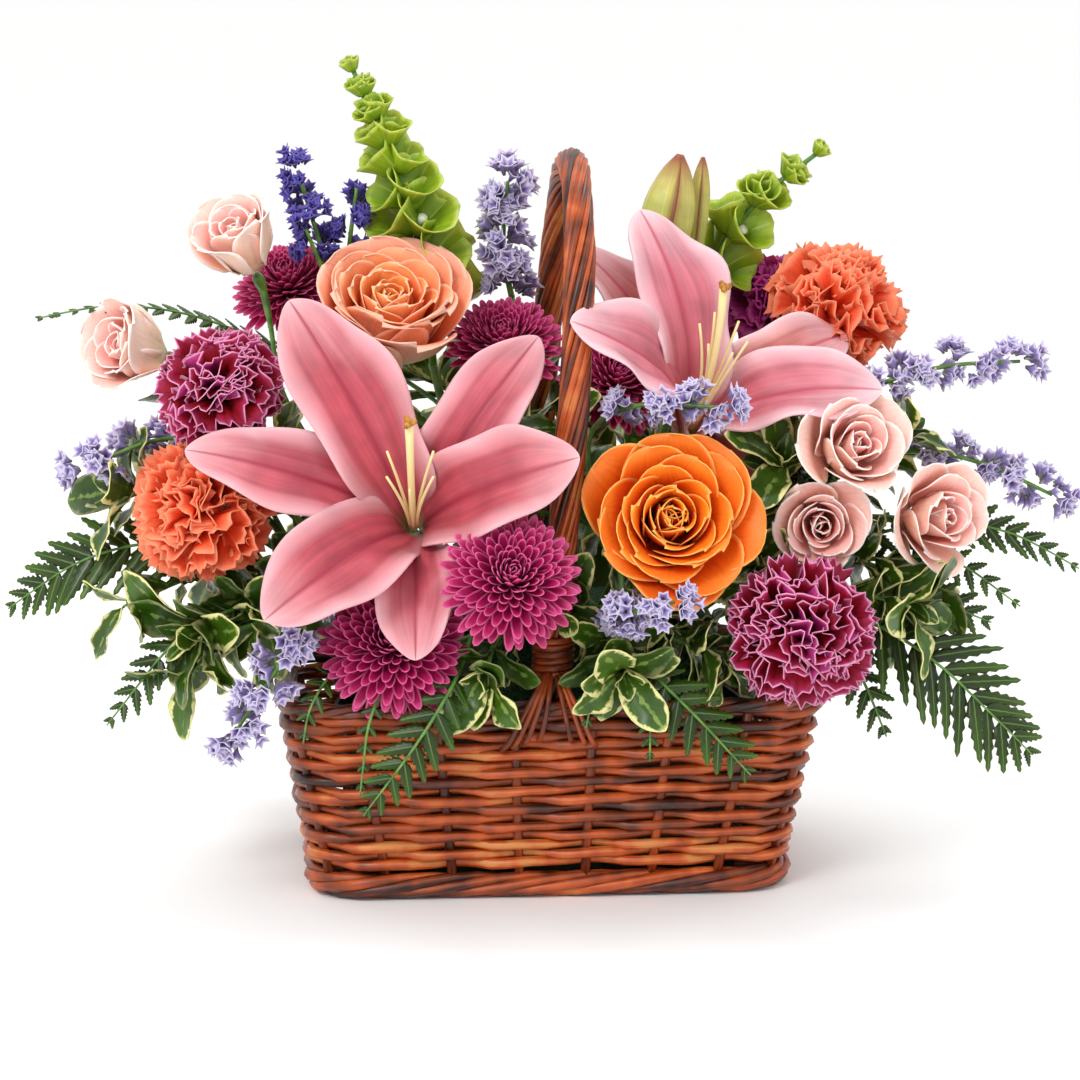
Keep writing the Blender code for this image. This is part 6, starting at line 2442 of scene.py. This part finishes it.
@dataclass
class Studio:
    """White sweep, soft lamps and the camera.

    Attributes:
        lamps: Its lights.
        white: Strength of the white surroundings.
        target: The point that the camera looks at, in millimetres.
        azimuth: Direction of the camera from the target, in degrees to the right of the front.
        elevation: Its height above the horizontal, in degrees.
        distance: Its distance in millimetres.
        lens: Focal length in millimetres.
    """

    lamps: tuple[Lamp, ...] = (
        Lamp("key_softbox", (-0.8, -1.3, 1.3), 0.6, 14),
        Lamp("top_softbox", (0.2, 0.3, 1.5), 0.6, 6),
    )
    white: float = 1.0
    target: Point = (-1, 0, 142)
    azimuth: float = -4.0
    elevation: float = 11.0
    distance: float = 1550.0
    lens: float = 120.0

    def build_floor(self) -> None:
        """Lays the sweep, its top at the height that the basket stands on."""
        bm = bmesh.new()
        bmesh.ops.create_cube(bm, size=1)
        bmesh.ops.scale(bm, vec=(60, 60, 0.02), verts=bm.verts)
        bmesh.ops.translate(bm, vec=(0, 0, CAD_BOX[0][2] - 0.01), verts=bm.verts)
        mesh = bpy.data.meshes.new("paper_sweep")
        bm.to_mesh(mesh)
        mesh.materials.append(StudioPaper().material())
        floor = bpy.data.objects.new("paper_sweep", mesh)
        bpy.context.scene.collection.objects.link(floor)
        floor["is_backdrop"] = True

    def build_surroundings(self) -> None:
        """Sets the white surroundings and the plain view transform."""
        world = bpy.data.worlds.new("white_surroundings")
        world.use_nodes = True
        world.node_tree.nodes["Background"].inputs[0].default_value = (1, 1, 1, 1)
        world.node_tree.nodes["Background"].inputs[1].default_value = self.white
        bpy.context.scene.world = world
        bpy.context.scene.view_settings.view_transform = "Standard"

    def build_camera(self) -> None:
        """Places the camera and makes it the scene's."""
        data = bpy.data.cameras.new("front_camera")
        data.lens = self.lens
        data.sensor_width = 36.0
        turn, rise = radians(self.azimuth), radians(self.elevation)
        way = Vector((sin(turn) * cos(rise), -cos(turn) * cos(rise), sin(rise)))
        camera = bpy.data.objects.new("front_camera", data)
        place = (Vector(self.target) + way * self.distance) * MM
        camera.matrix_world = looking(place, -way)
        bpy.context.scene.collection.objects.link(camera)
        bpy.context.scene.camera = camera

    def build(self) -> None:
        """Builds the studio."""
        self.build_floor()
        self.build_surroundings()
        for lamp in self.lamps:
            lamp.build()
        self.build_camera()


# -------- order of the work
# Tips of the pittosporum twigs that fill the room between the blooms.
TWIGS = {
    "pittosporum_left": (
        (-150, -56, 98), (-178, -40, 124), (-126, -52, 122), (-112, -22, 192), (-150, 0, 206),
        (-176, -30, 186), (-96, -44, 128),
    ),
    "pittosporum_front": ((-62, -60, 112), (64, -70, 108), (0, -62, 122), (44, -58, 120)),
    "pittosporum_right": (
        (84, -56, 134), (142, -36, 138), (166, -30, 124), (124, -16, 196), (62, -24, 172),
        (146, -14, 180), (150, -24, 156), (100, -24, 184),
    ),
    "pittosporum_back": (
        (-92, 46, 150), (-34, 10, 192), (8, 4, 192), (-66, 30, 196), (88, 40, 186)
    ),
}
CARRIED_STEMS = (
    *(f"lily_{n}_stem" for n in (1, 2)), *(f"rose_{n}_stem" for n in (1, 2)),
    *(f"carnation_{n}_stem" for n in range(1, 6)),
    *(f"chrysanthemum_stem_{side}" for side in ("front", "back")),
    *(f"spray_rose_stem_{side}" for side in ("left", "right")), "lily_bud_stem",
)
BLOOM_NODES = ("lily", "rose", "spray", "carnation", "chrysanthemum", "bells", "statice")


def basket_parts() -> Iterator:
    """The basket, its handle and the two lashings."""
    handle = RopeHandle()
    yield WovenBasket()
    yield handle
    for side in Side:
        yield HandleLashing(handle, side)


def blooms() -> Iterator:
    """The flowers and buds."""
    yield Lily("lily_1", LILY_1, LILY_DEEP, LILY_1_TEPALS)
    yield Lily("lily_2", LILY_2, LILY_SOFT, LILY_2_TEPALS)
    yield LilyBud("lily_bud_large", (44, 12, 234), (60, 14, 306), 11.5)
    yield LilyBud("lily_bud_small", (66, 24, 250), (71, 24, 304), 4.6)
    yield Rose("rose_1", ROSE_1, (PEACH_REVERSE, PEACH_UPPER), "peach_petal", shut=0.4, seed=31)
    yield Rose("rose_2", ROSE_2, (ORANGE_REVERSE, ORANGE_UPPER), "orange_petal", shut=0.14, seed=32)
    for number, (head, shut) in enumerate(zip(SPRAY_ROSES, SPRAY_SHUT), 1):
        yield SprayRose(f"spray_rose_{number}", head, shut=shut, seed=40 + number)
    for number, (head, finishes, slot) in enumerate(CARNATIONS, 1):
        yield Carnation(f"carnation_{number}", head, finishes, slot, seed=60 + number)
    for number, head in enumerate(MUMS, 1):
        yield Chrysanthemum(f"chrysanthemum_{number}", head, seed=80 + number)


def greens() -> Iterator:
    """The stems, the fillers and the foliage."""
    for node in CARRIED_STEMS:
        yield CarriedStem(node)
    for seed, (name, (radius, fork, route, cups)) in enumerate(BELLS.items()):
        yield BellSpike(name, radius, fork, (route,), seed, cups)
    for seed, (name, (fork, branches, firsts, spacing, size)) in enumerate(STATICE.items()):
        blue = name == "statice_blue"
        finish, slot = (BLUE_PAPER, name) if blue else (LAVENDER_PAPER, "statice_lavender")
        yield StaticeSpray(name, 1.4, fork, branches, seed, finish, slot, firsts, spacing, size)
    for seed, (name, (fork, fronds)) in enumerate(FERNS.items()):
        yield Fern(name, fork, fronds, seed)
    obstacles = Obstacles(*BLOOM_NODES, "wicker", "handle", "plastic")
    for seed, (name, (fork, shoots)) in enumerate(PITTOSPORUM.items()):
        routes = tuple(route for route, *_ in shoots)
        leaves = tuple(leaf for _, *leaf in shoots)
        yield Pittosporum(name, 1.7, fork, routes, seed, leaves, obstacles, TWIGS[name])


def main() -> None:
    """Builds every piece, then the studio."""
    dress_filling()
    for maker in (basket_parts, blooms, greens):
        for piece in maker():
            piece.build()
    Studio().build()
    boxes = {"cad": CAD_BOX, "scene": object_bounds()}
    {name: [list(corner) for corner in box] for name, box in boxes.items()}


if __name__ == "__main__":
    main()
